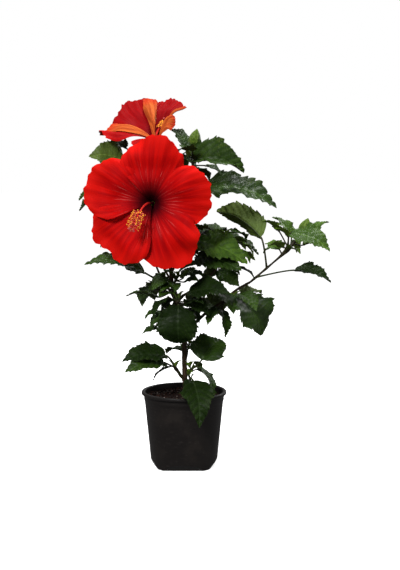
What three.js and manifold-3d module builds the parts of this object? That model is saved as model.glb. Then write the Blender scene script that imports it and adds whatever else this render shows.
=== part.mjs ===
// Potted hibiscus shrub in a grower's pot. Millimetres, +Z up, origin at the centre of the pot's
// flat underside.
import * as THREE from "three";
import { mergeVertices } from "three/addons/utils/BufferGeometryUtils.js";
import Module from "manifold-3d";

const wasm = await Module();
wasm.setup();

const GAP = 0.3; // clearance between pieces that touch
const UP = new THREE.Vector3(0, 0, 1);
const GOLDEN = 137.5; // degrees from one leaf to the next round a shoot
const SPACE = 8; // least distance between the leaves of two masses

// ---------------------------------------------------------------- helpers

const rad = THREE.MathUtils.degToRad;
const mix = THREE.MathUtils.lerp;
const vec = (p) => new THREE.Vector3(p[0], p[1], p[2]);

// Direction of a compass bearing (0 = +X, 90 = +Y) and a rise above level, in degrees.
function heading(compass, rise) {
  const c = Math.cos(rad(rise));
  return new THREE.Vector3(
    c * Math.cos(rad(compass)),
    c * Math.sin(rad(compass)),
    Math.sin(rad(rise)),
  );
}

// Seeded numbers from -1 to 1.
function dice(seed) {
  let s = seed >>> 0;
  return () => {
    s = (Math.imul(s, 1664525) + 1013904223) >>> 0;
    return s / 2147483648 - 1;
  };
}

function curveOf(points) {
  return new THREE.CatmullRomCurve3(points, false, "catmullrom", 0.5);
}

// Closed geometry to a solid: corners welded, slivers with no area dropped.
function solidOf(geometry) {
  const bare = new THREE.BufferGeometry();
  bare.setAttribute("position", geometry.getAttribute("position"));
  bare.setIndex(geometry.index);
  const g = mergeVertices(bare, 1e-4);
  const kept = [];
  for (let i = 0; i < g.index.count; i += 3) {
    const [a, b, c] = [0, 1, 2].map((k) => g.index.getX(i + k));
    if (a !== b && b !== c && a !== c) kept.push(a, b, c);
  }
  return new wasm.Manifold(
    new wasm.Mesh({
      numProp: 3,
      vertProperties: new Float32Array(g.attributes.position.array),
      triVerts: new Uint32Array(kept),
    }),
  );
}

// The outer skin of the biggest piece: scraps and sealed hollows go.
function whole(solid) {
  const pieces = solid.decompose();
  return pieces.reduce((a, b) => (b.volume() > a.volume() ? b : a));
}

function fuse(solids) {
  return whole(wasm.Manifold.union(solids));
}

// Moves each point of a geometry by a function of its own x, y and z.
function shaped(geometry, move) {
  const at = geometry.attributes.position;
  for (let i = 0; i < at.count; i++) {
    const p = move(at.getX(i), at.getY(i), at.getZ(i));
    at.setXYZ(i, p.x, p.y, p.z);
  }
  return geometry;
}

// ---------------------------------------------------------------- limbs

// Two directions across a path: the first is square to the axis that the path's chord follows least.
function across(tangent, chord) {
  const size = [Math.abs(chord.x), Math.abs(chord.y), Math.abs(chord.z)];
  const least = size.indexOf(Math.min(...size));
  const reference = new THREE.Vector3(
    least === 0 ? 1 : 0,
    least === 1 ? 1 : 0,
    least === 2 ? 1 : 0,
  );
  const side = new THREE.Vector3().crossVectors(tangent, reference).normalize();
  return [side, new THREE.Vector3().crossVectors(side, tangent).normalize()];
}

// Radius at t along a limb whose radii are given at even steps.
function radiusAt(radii, t) {
  const place = t * (radii.length - 1);
  const i = Math.min(Math.floor(place), radii.length - 2);
  return mix(radii[i], radii[i + 1], place - i);
}

// A round limb along a path. grown makes it fatter and longer by that much, to cut its neighbours clear.
function limbSolid({ path, radii, sides, steps, flare = 0 }, grown = 0) {
  const chord = path[path.length - 1].clone().sub(path[0]);
  const curve = curveOf(path);
  const length = chord.length();
  const g = new THREE.CylinderGeometry(1, 1, 1, sides, steps);
  shaped(g, (x, y, z) => {
    const t = THREE.MathUtils.clamp(y + 0.5, 0, 1);
    const tangent = curve.getTangent(t);
    const [side, front] = across(tangent, chord);
    const r = radiusAt(radii, t) + flare * Math.exp((-t * length) / 6) + grown;
    const p = curve.getPoint(t);
    p.addScaledVector(side, x * r).addScaledVector(front, z * r);
    if (t === 0) p.addScaledVector(tangent, -grown);
    if (t === 1) p.addScaledVector(tangent, grown);
    return p;
  });
  return solidOf(g);
}

// ---------------------------------------------------------------- leaves

// Half the width of a blade at t along it, as a share of its greatest half width.
function outline(t, leaf) {
  const oval = Math.pow(Math.max(0, Math.sin(Math.PI * Math.pow(t, leaf.broad))), 0.75);
  const bulge = (t - 0.4) / 0.09;
  return oval + leaf.lobe * Math.exp(-bulge * bulge);
}

// Frame of a leaf: where its blade starts, forward, upper face and left side.
function leafFrame(shoot, leaf) {
  const foot = shoot.curve.getPoint(leaf.at);
  const stalk = heading(leaf.to, leaf.rise);
  const base = foot.clone().addScaledVector(stalk, leaf.stalk);
  const forward = heading(leaf.face, -leaf.dip);
  const level = UP.clone().addScaledVector(forward, -UP.dot(forward)).normalize();
  const left = new THREE.Vector3().crossVectors(level, forward);
  const upper = level
    .multiplyScalar(Math.cos(rad(leaf.roll)))
    .addScaledVector(left, -Math.sin(rad(leaf.roll)));
  const side = new THREE.Vector3().crossVectors(upper, forward);
  return { foot, base, forward, upper, side };
}

// A point of the blade: t along it, a across it from -1 to 1, lift off its middle face.
function bladePoint(frame, leaf, t, a, lift) {
  const bend = rad(leaf.curl);
  const half = bend / 2;
  const k = leaf.blade / (2 * Math.sin(half));
  const turn = bend * (t - 0.5);
  const p = frame.base
    .clone()
    .addScaledVector(frame.forward, k * (Math.sin(half) + Math.sin(turn)))
    .addScaledVector(frame.upper, k * (Math.cos(turn) - Math.cos(half)));
  const face = frame.upper
    .clone()
    .multiplyScalar(Math.cos(turn))
    .addScaledVector(frame.forward, Math.sin(turn));
  const reach = leaf.blade * leaf.wide * 0.5 * outline(t, leaf);
  const w = a * Math.max(reach, 0.5);
  const fold = rad(leaf.fold);
  const wave = 0.07 * reach * Math.sin(9 * t + 2 * a + leaf.blade) * Math.abs(a);
  p.addScaledVector(frame.side, w * Math.cos(fold));
  p.addScaledVector(face, Math.abs(w) * Math.sin(fold) + wave + lift);
  return p;
}

const LEAF = {
  at: 1,
  to: 0,
  rise: 30,
  stalk: 18,
  dip: 25,
  blade: 50,
  roll: 0,
  wide: 0.68,
  curl: 40,
  fold: 12,
  lobe: 0,
  broad: 0.62, // above 0.62 the blade is widest further from its foot
};

const STALK_STEPS = 3;

// Stations of a leaf's stalk from the shoot to the blade: centre and the two directions across it.
function stalkStations(frame, leaf) {
  const half = rad(leaf.curl) / 2;
  const start = frame.forward
    .clone()
    .multiplyScalar(Math.cos(half))
    .addScaledVector(frame.upper, Math.sin(half));
  const knee = frame.base.clone().addScaledVector(start, -0.45 * leaf.stalk);
  const bend = new THREE.QuadraticBezierCurve3(frame.foot, knee, frame.base);
  const stations = [];
  let side = frame.side;
  for (let k = STALK_STEPS - 1; k >= 0; k--) {
    const way = bend.getTangent(k / STALK_STEPS);
    side = side.clone().addScaledVector(way, -side.dot(way)).normalize();
    const upper = new THREE.Vector3().crossVectors(way, side);
    stations[k] = { centre: bend.getPoint(k / STALK_STEPS), side, upper };
  }
  return stations;
}

// A leaf in one piece with its stalk, whose foot is sunk to the middle of the shoot.
function leafSolid(shoot, leaf) {
  const f = leafFrame(shoot, leaf);
  const thick = Math.max(1, leaf.blade / 90);
  const steps = leaf.blade > 58 ? 6 : leaf.blade > 40 ? 5 : 4;
  const across = leaf.blade > 36 ? 2 : 1;
  const rows = steps + STALK_STEPS;
  const stations = stalkStations(f, leaf);
  const box = new THREE.BoxGeometry(2, 1, 1, across, 1, rows);
  return solidOf(
    shaped(box, (x, y, z) => {
      const k = Math.round((z + 0.5) * rows);
      if (k >= STALK_STEPS)
        return bladePoint(f, leaf, (k - STALK_STEPS) / steps, x, y * thick);
      const { centre, side, upper } = stations[k];
      const r = mix(1, 0.7, k / STALK_STEPS);
      return centre.clone().addScaledVector(side, x * r).addScaledVector(upper, 2 * y * r);
    }),
  );
}

// Points on a blade, for the space that it takes up.
function leafSamples(shoot, leaf) {
  const f = leafFrame(shoot, leaf);
  const points = [];
  for (let i = 1; i <= 6; i++)
    for (const a of [-0.9, -0.45, 0, 0.45, 0.9])
      points.push(bladePoint(f, leaf, i / 6.5, a, 0));
  points.push(f.base, f.foot.clone().lerp(f.base, 0.6));
  return points;
}

// ---------------------------------------------------------------- buds

// A bud on its stalk: long from the stalk's end to its point, thick at its middle.
function budSolid(shoot, bud) {
  const foot = shoot.curve.getPoint(bud.at);
  const way = heading(bud.to, bud.rise);
  const base = foot.clone().addScaledVector(way, bud.stalk);
  const tip = base.clone().addScaledVector(heading(bud.to, bud.point), bud.long);
  const stalk = limbSolid({
    path: [foot, foot.clone().lerp(base, 0.5), base, base.clone().lerp(tip, 0.2)],
    radii: [1.2, 1, 1.4],
    sides: 5,
    steps: 4,
  });
  const r = bud.thick / 2;
  const body = limbSolid({
    path: [base, base.clone().lerp(tip, 0.5), tip],
    radii: [0.35 * r, 0.85 * r, r, 0.92 * r, 0.6 * r, 0.12 * r],
    sides: 8,
    steps: 5,
  });
  return [stalk, body];
}

// ---------------------------------------------------------------- blooms

// Frame of a bloom: out of the throat, then two directions across it.
function bloomFrame(bloom) {
  const out = heading(bloom.out[0], bloom.out[1]);
  const v = UP.clone().addScaledVector(out, -UP.dot(out)).normalize();
  const u = new THREE.Vector3().crossVectors(v, out);
  return { seat: vec(bloom.seat), out, u, v };
}

// A point of a petal: t from the throat to the rim, a across from -1 to 1.
function petalPoint(frame, petal, t, a) {
  const spread = mix(THROAT_SPREAD, petal.spread, Math.min(1, 3 * t));
  const turn = rad(petal.at + a * spread * (1 + 0.15 * Math.sin(Math.PI * t)));
  const dip = petal.notch * Math.exp(-25 * a * a);
  const round = 1 - (petal.tuck * Math.pow(Math.abs(a), petal.sharp) + dip) * t * t;
  const radial = THROAT + (petal.reach - THROAT) * Math.pow(t, 1.25) * round;
  const cup = petal.deep * (1 - Math.pow(Math.max(1 - t, 0), 2.6)) - petal.reflex * Math.pow(t, 4);
  const ruffle = 0.035 * petal.reach * t * t * Math.sin(4.5 * a + 0.1 * petal.at);
  const lean = petal.bow * (1 - a * a) * t * t - petal.slant * a * t;
  const lap = 0.03 * petal.reach * a * Math.min(1, 4 * t) + lean;
  return frame.seat
    .clone()
    .addScaledVector(frame.out, GAP + cup + ruffle + lap)
    .addScaledVector(frame.u, radial * Math.cos(turn))
    .addScaledVector(frame.v, radial * Math.sin(turn));
}

const THROAT = 3.2; // radius of the petals' tube where it leaves the calyx
const THROAT_SPREAD = 46; // half the angle that a petal takes up there, in degrees
const PETAL_THICK = 1.2;

// Shape of a petal: half its angle, how far its rim stands out of the throat and bends back, its
// reach, how much it leans to one side, how far and how sharply its corners draw in, the dip in
// the middle of its rim, and how far it bows.
const PETAL = {
  spread: 40,
  deep: 38,
  reflex: 6,
  reach: 87,
  slant: 0,
  tuck: 0.24,
  sharp: 2.4,
  notch: 0,
  bow: 0,
};

function petalSolid(frame, petal) {
  const e = 0.004; // a small step, for the slope of the face
  const blade = new THREE.BoxGeometry(2, 1, 1, 4, 1, 6);
  return solidOf(
    shaped(blade, (x, y, z) => {
      const t = z + 0.5;
      const p = petalPoint(frame, petal, t, x);
      const along = petalPoint(frame, petal, t + e, x).sub(
        petalPoint(frame, petal, Math.max(t - e, 0), x),
      );
      const over = petalPoint(frame, petal, t, x + e).sub(
        petalPoint(frame, petal, t, x - e),
      );
      const face = new THREE.Vector3().crossVectors(along, over).normalize();
      return p.addScaledVector(face, y * PETAL_THICK);
    }),
  );
}

// ---------------------------------------------------------------- pot and soil

const POT = {
  rimRadius: 57.5,
  height: 102.4,
  baseRadius: 44.5,
  shoulderRadius: 53.4, // under the collar
  shoulderHeight: 90,
  wall: 1.2,
  floor: 2,
  lip: 3.4, // how far the rolled lip stands out of the collar
  lipHeight: 4.2,
};
const SOIL_TOP = 96.5;
const TURNED_SIDES = 30;
const FOOT_SIDES = 4; // the foot is chamfered to a square with round corners
const CHAMFER = { size: 30, length: 100, tilt: 48, out: 9.4, sunk: 2.2 }; // the bar that cuts one

function revolved(profile) {
  const g = new THREE.LatheGeometry(
    profile.map(([r, z]) => new THREE.Vector2(r, z)),
    TURNED_SIDES,
  );
  g.rotateX(Math.PI / 2);
  const made = solidOf(g);
  if (made.volume() > 0) return made;
  throw new Error("a turned profile runs the wrong way round");
}

// The bars that cut the foot's chamfers, moved inwards by a given depth.
function chamfers(inset) {
  return Array.from({ length: FOOT_SIDES }, (_, i) => {
    const bar = new THREE.BoxGeometry(CHAMFER.size, CHAMFER.length, CHAMFER.size);
    bar.rotateY(rad(CHAMFER.tilt));
    bar.translate(POT.baseRadius + CHAMFER.out - inset, 0, inset * 0.9 - CHAMFER.sunk);
    bar.rotateZ((i * 2 * Math.PI) / FOOT_SIDES);
    return solidOf(bar);
  });
}

function wallRadius(z) {
  const slope = (POT.shoulderRadius - POT.baseRadius) / POT.shoulderHeight;
  return POT.baseRadius + slope * z;
}

function potSolid() {
  const collar = POT.rimRadius - POT.lip;
  const lipFoot = POT.height - POT.lipHeight;
  let outer = revolved([
    [0, 0],
    [POT.baseRadius, 0],
    [POT.shoulderRadius, POT.shoulderHeight],
    [collar, POT.shoulderHeight + 0.8],
    [collar + 0.2, lipFoot],
    [POT.rimRadius - 0.6, lipFoot],
    [POT.rimRadius, lipFoot + 0.9],
    [POT.rimRadius, POT.height - 1.3],
    [POT.rimRadius - 1.2, POT.height],
    [0, POT.height],
  ]);
  let inner = revolved([
    [0, POT.floor],
    [wallRadius(POT.floor) - POT.wall, POT.floor],
    [POT.shoulderRadius - POT.wall, POT.shoulderHeight],
    [collar - POT.wall, POT.shoulderHeight + 1.4],
    [collar - POT.wall, POT.height - 0.8],
    [collar - 0.4, POT.height + 1],
    [0, POT.height + 1],
  ]);
  for (const bar of chamfers(0)) outer = outer.subtract(bar);
  for (const bar of chamfers(POT.wall + 0.2)) inner = inner.subtract(bar);
  return whole(outer.subtract(inner));
}

function soilSolid() {
  const off = POT.wall + GAP;
  let soil = revolved([
    [0, POT.floor + GAP],
    [wallRadius(POT.floor) - off, POT.floor + GAP],
    [POT.shoulderRadius - off, POT.shoulderHeight - 0.2],
    [POT.shoulderRadius - off, SOIL_TOP - 1.2],
    [40, SOIL_TOP - 0.3],
    [16, SOIL_TOP],
    [0, SOIL_TOP],
  ]);
  for (const bar of chamfers(POT.wall + 0.2 + GAP)) soil = soil.subtract(bar);
  return whole(soil);
}

// ---------------------------------------------------------------- trunk and boughs

const limbs = {};

// A limb: name, path, radius at its foot and at its tip, and the limbs that it is cut clear of.
function limb(name, points, r0, r1, from = [], more = {}) {
  const path = points.map(vec);
  const steps = 2 * (path.length - 1);
  const shape = { path, radii: [r0, r1], sides: 6, steps, ...more };
  limbs[name] = { ...shape, curve: curveOf(path), from };
}

limb(
  "trunk",
  [[2, 3, 90], [2, 3, 104], [1, 2, 124], [0.5, 1, 150], [0.8, 1, 178]],
  3.7, 3.2, [], { flare: 1.5, sides: 10, steps: 12 },
);
limb(
  "bough_leader",
  [[0.8, 1, 178.4], [-4, 0, 204], [-8.6, 0, 227], [-15, 0, 246], [-18, 2, 268],
    [-20, 4, 300], [-23, 6, 330], [-29, 10, 372], [-32, 12, 405]],
  3.1, 1.5, ["trunk"],
);
limb(
  "bough_right",
  [[0.8, 1, 172], [9, 1, 187], [30, 0, 208.5], [51.3, 0, 223], [70, 0, 239], [89, 0, 250]],
  2.2, 1.6, ["trunk", "bough_leader"],
);
limb(
  "bough_mid_right",
  [[-8.6, 0, 227], [12, 3, 240], [34, 5, 257], [45, 3, 271]],
  1.7, 1.4, ["bough_leader"],
);
limb(
  "bough_upper_right",
  [[-17, 1, 262], [-4, 12, 290], [6, 16, 340], [10, 12, 378]],
  1.8, 1.4, ["bough_leader"],
);
limb(
  "bough_left",
  [[-12.5, 0, 240], [-24, 12, 262], [-44, 19, 294], [-66, 22, 322]],
  1.7, 1.4, ["bough_leader"],
);
limb(
  "bough_back_left",
  [[-4, 0, 204], [-14, 22, 226], [-34, 46, 256], [-46, 58, 286]],
  1.8, 1.4, ["bough_leader"],
);
limb(
  "bough_back_right",
  [[0.8, 1, 162], [10, 18, 190], [26, 42, 222], [38, 56, 254]],
  1.9, 1.4, ["trunk"],
);
limb(
  "bough_back_top",
  [[-20, 4, 300], [-18, 22, 326], [-14, 44, 356], [-12, 54, 380]],
  1.6, 1.3, ["bough_leader"],
);

// ---------------------------------------------------------------- masses of leaves

// Each mass: the limb that carries it, its stem, the leaves that are trained by eye, and what the
// rule adds: twigs round the stem and more leaves, within room of the stem's middle.
// at is the place along the shoot; to and rise aim the leaf's stalk; face and dip aim the blade;
// roll leans it over to its right; wide, curl, fold and lobe shape it.
const MASSES = {
  spray_base_left: {
    from: ["trunk"],
    stem: [[1, 2, 117], [-5, -1, 122], [-12, -3, 134]],
    trained: [
      { at: 0.2, to: 205, rise: 53, stalk: 42, face: 211, dip: -1, blade: 66, roll: -30, wide: 0.6 },
      { at: 1, to: 218, rise: 27, stalk: 20, face: 218, dip: 1, blade: 65, roll: -25, wide: 0.6 },
      { at: 0.9, to: 219, rise: 34, stalk: 10, face: 201, dip: 31, blade: 33, wide: 0.25 },
    ],
  },
  spray_base_right: {
    from: ["trunk"],
    stem: [[1.5, 2, 120], [7, -3, 127], [10, -7, 132]],
    trained: [
      {
        at: 0.9, to: 320, rise: 41, stalk: 25, face: 50, dip: -30, blade: 50,
        wide: 1.05, fold: 15, roll: 22,
      },
      { at: 1, to: 309, rise: 22, stalk: 15, face: 318, dip: 46, blade: 44, wide: 0.6, roll: -20 },
    ],
  },
  spray_rim: {
    from: ["trunk"],
    stem: [[2, 3, 109], [7, -7, 117], [9, -15, 122]],
    trained: [
      { at: 1, to: 282, rise: 0, stalk: 16, face: 279, dip: 45, blade: 72, wide: 0.5, lobe: 0.38, curl: 50 },
    ],
  },
  spray_center: {
    from: ["bough_leader"],
    stem: [[-3, 0, 199], [-6, -12, 214], [-8, -20, 228]],
    trained: [
      {
        at: 0.6, to: 269, rise: 17, stalk: 20, face: 246, dip: 88, blade: 53,
        roll: -14, wide: 1.05, curl: 93, broad: 0.97,
      },
      { at: 0.9, to: 327, rise: 40, stalk: 23, face: 336, dip: -3, blade: 59, roll: 35, wide: 0.7 },
      { at: 0.3, to: 307, rise: 53, stalk: 22, face: 330, dip: 21, blade: 39, roll: 30 },
    ],
  },
  spray_left: {
    from: ["bough_leader"],
    stem: [[-12, 0, 237], [-22, -4, 243], [-32, -8, 252]],
    trained: [
      {
        at: 1, to: 216, rise: 28, stalk: 27, face: 197, dip: -12, blade: 83,
        roll: -30, wide: 0.42, lobe: 0.3,
      },
      { at: 0.15, to: 199, rise: -21, stalk: 22, face: 193, dip: -7, blade: 45, wide: 0.35 },
      { at: 0.5, to: 224, rise: 27, stalk: 13, face: 216, dip: 21, blade: 22 },
      { at: 0.2, to: 272, rise: 38, stalk: 16, face: 230, dip: 17, blade: 25, roll: -20 },
    ],
  },
  spray_left_low: {
    from: ["bough_leader"],
    stem: [[-3.5, 0, 201], [-14, 2, 207], [-24, 2, 212]],
    trained: [
      { at: 0.9, to: 203, rise: -28, stalk: 6, face: 207, dip: 39, blade: 29, roll: -20, wide: 0.6 },
      { at: 0.6, to: 169, rise: -47, stalk: 29, face: 190, dip: 15, blade: 23, roll: -25, wide: 0.6 },
      { at: 0.5, to: 180, rise: 63, stalk: 22, face: 229, dip: 63, blade: 17, wide: 0.55 },
    ],
  },
  spray_right_low: {
    from: ["bough_right"],
    stem: [[51.3, 0, 223], [60, -5, 224], [70, -9, 226]],
    trained: [
      {
        at: 1, to: 272, rise: 49, stalk: 8, face: 346, dip: 53, blade: 64,
        roll: 25, wide: 1.15, curl: 69, fold: 8, lobe: 0.08, broad: 0.84,
      },
      { at: 0.5, to: 222, rise: 48, stalk: 15, face: 300, dip: 39, blade: 36, wide: 0.75 },
      { at: 0.2, to: 239, rise: -55, stalk: 12, face: 297, dip: 70, blade: 39, wide: 0.5, roll: -20 },
      { at: 0.1, to: 122, rise: -48, stalk: 16, face: 133, dip: 34, blade: 26 },
      { at: 0.7, to: 48, rise: 26, stalk: 22, face: 43, dip: 1, blade: 41, wide: 0.6, roll: 15 },
    ],
  },
  spray_mid_right: {
    from: ["bough_mid_right"],
    stem: [[45, 3, 271], [52, 0, 290], [58, -4, 312]],
    trained: [
      { at: 1, to: 60, rise: 20, stalk: 14, face: 50, dip: 15, blade: 34, roll: 15 },
      { at: 0.1, to: 96, rise: -44, stalk: 18, face: 139, dip: 12, blade: 30, roll: -59, wide: 0.7 },
      {
        at: 0.05, to: 96, rise: -53, stalk: 11, face: 352, dip: 33, blade: 37,
        roll: 43, wide: 0.8, curl: 30, fold: 2,
      },
      { at: 0.3, to: 2, rise: -28, stalk: 25, face: 342, dip: 28, blade: 30, wide: 0.4 },
    ],
  },
  spray_mid: {
    from: ["bough_leader"],
    stem: [[-20, 4, 297], [-4, 6, 304], [10, 3, 308]],
    trained: [
      { at: 0.9, to: 343, rise: -3, stalk: 12, face: 338, dip: 19, blade: 78, roll: 35, wide: 0.68 },
      { at: 0.6, to: 330, rise: -40, stalk: 30, face: 333, dip: 11, blade: 67, roll: 38, wide: 0.7 },
      { at: 1, to: 40, rise: 10, stalk: 17, face: 42, dip: -10, blade: 50, roll: 15 },
    ],
  },
  spray_right: {
    from: ["bough_right"],
    stem: [[89, 0, 250], [110, 0, 268], [132, -5, 288], [150, -8, 307]],
    trained: [
      {
        at: 0.12, to: 353, rise: 11, stalk: 53, face: 344, dip: 14, blade: 52,
        roll: 22, wide: 0.6, fold: 22, curl: 25,
      },
      {
        at: 0.35, to: 173, rise: 79, stalk: 42, face: 166, dip: -29, blade: 73,
        roll: 79, wide: 0.68, curl: 81, fold: 48, broad: 0.9,
      },
      { at: 0.8, to: 210, rise: 57, stalk: 28, face: 209, dip: -31, blade: 31, wide: 0.85 },
      { at: 0.85, to: 82, rise: 52, stalk: 18, face: 148, dip: -44, blade: 38, wide: 0.85 },
      { at: 0.7, to: 296, rise: 67, stalk: 24, face: 211, dip: -30, blade: 26, wide: 0.8 },
      { at: 0.8, to: 278, rise: 57, stalk: 25, face: 334, dip: 20, blade: 59, roll: 32 },
      { at: 1, to: 30, rise: 17, stalk: 25, face: 35, dip: -30, blade: 36 },
    ],
    buds: [{ at: 1, to: 345, rise: 35, stalk: 11, point: 75, long: 24, thick: 17 }],
  },
  spray_upper_right: {
    from: ["bough_upper_right"],
    stem: [[10, 12, 378], [12, 9, 405], [10, 6, 426]],
    trained: [
      {
        at: 0.9, to: 284, rise: -48, stalk: 15, face: 357, dip: 9, blade: 72,
        roll: 49, wide: 0.72, curl: 80, fold: 43, lobe: 0.2,
      },
      { at: 1, to: 136, rise: 19, stalk: 12, face: 136, dip: -45, blade: 41 },
      { at: 0.3, to: 339, rise: -49, stalk: 24, face: 344, dip: 12, blade: 105, roll: 32, wide: 0.52 },
      { at: 0.6, to: 55, rise: -43, stalk: 11, face: 40, dip: 33, blade: 30 },
    ],
    buds: [
      { at: 1, to: 315, rise: 60, stalk: 6, point: 70, long: 24, thick: 15 },
      { at: 0.7, to: 250, rise: 20, stalk: 12, point: 55, long: 13, thick: 8 },
    ],
  },
  spray_upper_left: {
    from: ["bough_left"],
    stem: [[-66, 22, 322], [-92, 26, 366], [-102, 26, 405]],
    trained: [
      { at: 1, to: 100, rise: 30, stalk: 16, face: 95, dip: 20, blade: 34 },
      { at: 0.6, to: 186, rise: -48, stalk: 18, face: 210, dip: 18, blade: 42 },
    ],
    more: 5, size: 46, start: 60, seed: 11,
  },
  spray_back_low: {
    from: ["trunk"],
    stem: [[1, 1.5, 138], [4, 16, 150], [6, 28, 160]],
    trained: [
      { at: 0.3, to: 153, rise: 52, stalk: 13, face: 127, dip: 12, blade: 36 },
      { at: 0.5, to: 120, rise: 74, stalk: 8, face: 71, dip: 14, blade: 34 },
    ],
    more: 3, size: 50, start: 40, seed: 21,
  },
  spray_heart: {
    from: ["bough_leader"],
    stem: [[-15, 0, 246], [-13, -8, 250], [-10, -14, 254]],
    trained: [
      { at: 0.5, to: 284, rise: 42, stalk: 8, face: 228, dip: -35, blade: 26, roll: -20 },
      { at: 0.8, to: 329, rise: 22, stalk: 13, face: 316, dip: -36, blade: 28, roll: 20 },
      { at: 0.9, to: 355, rise: -7, stalk: 12, face: 319, dip: -10, blade: 26, roll: 25 },
    ],
  },
  spray_back_mid: {
    from: ["bough_back_right"],
    stem: [[18, 30, 206], [20, 42, 208], [22, 54, 214]],
    more: 4, size: 46, start: 150, seed: 31,
  },
  spray_back_side: {
    from: ["bough_back_left"],
    stem: [[-22, 32, 238], [-34, 44, 234], [-42, 56, 236]],
    more: 4, size: 46, start: 100, seed: 35,
  },
  spray_back_left: {
    from: ["bough_back_left"],
    stem: [[-46, 58, 286], [-60, 66, 312], [-70, 70, 342]],
    more: 5, size: 60, twigs: 2, start: 20, seed: 41,
  },
  spray_back_right: {
    from: ["bough_back_right"],
    stem: [[38, 56, 254], [36, 68, 282], [28, 74, 310]],
    more: 5, size: 54, twigs: 1, start: 75, seed: 51,
  },
  spray_back_top: {
    from: ["bough_back_top"],
    stem: [[-12, 54, 380], [-14, 64, 402], [-20, 70, 422]],
    more: 5, size: 50, twigs: 1, start: 30, seed: 61,
  },
  spray_top: {
    from: ["bough_leader"],
    stem: [[-31, 12, 394], [-46, 14, 406], [-60, 16, 414]],
    trained: [
      { at: 0.9, to: 203, rise: 1, stalk: 24, face: 206, dip: -6, blade: 50, roll: -62, wide: 0.85 },
      { at: 1, to: 151, rise: 36, stalk: 26, face: 149, dip: -9, blade: 40, roll: -15 },
    ],
    more: 4, size: 42, start: 60, seed: 71,
  },
};

const RULE = {
  seed: 1,
  start: 0,
  size: 50,
  room: 100, // how far the mass reaches from its stem's middle
  more: 0, // leaves that the rule tries to place on each shoot
  twigs: 0,
  trained: [],
  buds: [],
};

const BLOOMS = {
  bloom_front: {
    from: ["bough_leader"],
    stalk: [[-26.5, 8, 350], [-31, -1, 349], [-36, -9, 353]],
    foot: [-37, -10, 354],
    seat: [-40, -30, 356.5],
    out: [262, 4],
    column: [[258, 0, 30], [250, -22, 22], [236, -50, 26]],
    head: 0.86,
    petals: [
      { at: 84, sharp: 1.9 },
      { at: 10, reach: 84, spread: 36, tuck: 0.22, sharp: 3.2 },
      { at: 300, reach: 95, spread: 39, tuck: 0.28, sharp: 1.8 },
      { at: 230, reach: 90, notch: 0.08, sharp: 3 },
      { at: 160, reach: 87, tuck: 0.26, sharp: 3 },
    ],
  },
  bloom_top: {
    from: ["bough_leader"],
    stalk: [[-32, 12, 405], [-33, 12, 411], [-34, 12, 416]],
    foot: [-34, 12, 417],
    seat: [-36, 12, 436],
    out: [265, 68],
    column: [[265, 68, 11], [48, 70, 9], [38, 60, 11]],
    head: 0.36,
    petals: [
      { at: 121, reach: 89, deep: 20, spread: 28, reflex: -2, slant: 13, tuck: 0.1, sharp: 1.2, bow: 14 },
      { at: 69, reach: 61, deep: 38, spread: 22, reflex: -2, tuck: 0.1, bow: 2 },
      { at: 9, reach: 27, deep: 29, spread: 28, reflex: 3, slant: -7, bow: 3 },
      { at: 262, reach: 52, deep: 16, spread: 40, reflex: 4 },
      { at: 177, reach: 78, deep: 15, spread: 29, reflex: -2, slant: 1, tuck: 0.1, bow: 2 },
    ],
  },
};

// Points along a limb or shoot, for the space that it takes up.
function limbSamples(curve, length) {
  const n = Math.ceil(length / 5);
  return Array.from({ length: n + 1 }, (_, i) => curve.getPoint(i / n));
}

// Radii of the part of a stamen column that its anthers thicken, towards its tip.
const HEAD_RADII = [8.6, 10.2, 8.4, 2.4];

function petalSamples(frame, petal) {
  const points = [];
  for (let i = 1; i <= 7; i++)
    for (const a of [-1, -0.6, -0.2, 0.2, 0.6, 1])
      points.push(petalPoint(frame, petal, i / 7, a));
  return points;
}

function isClear(points, others, least) {
  return points.every((p) => others.every((q) => p.distanceTo(q) >= least));
}

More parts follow.
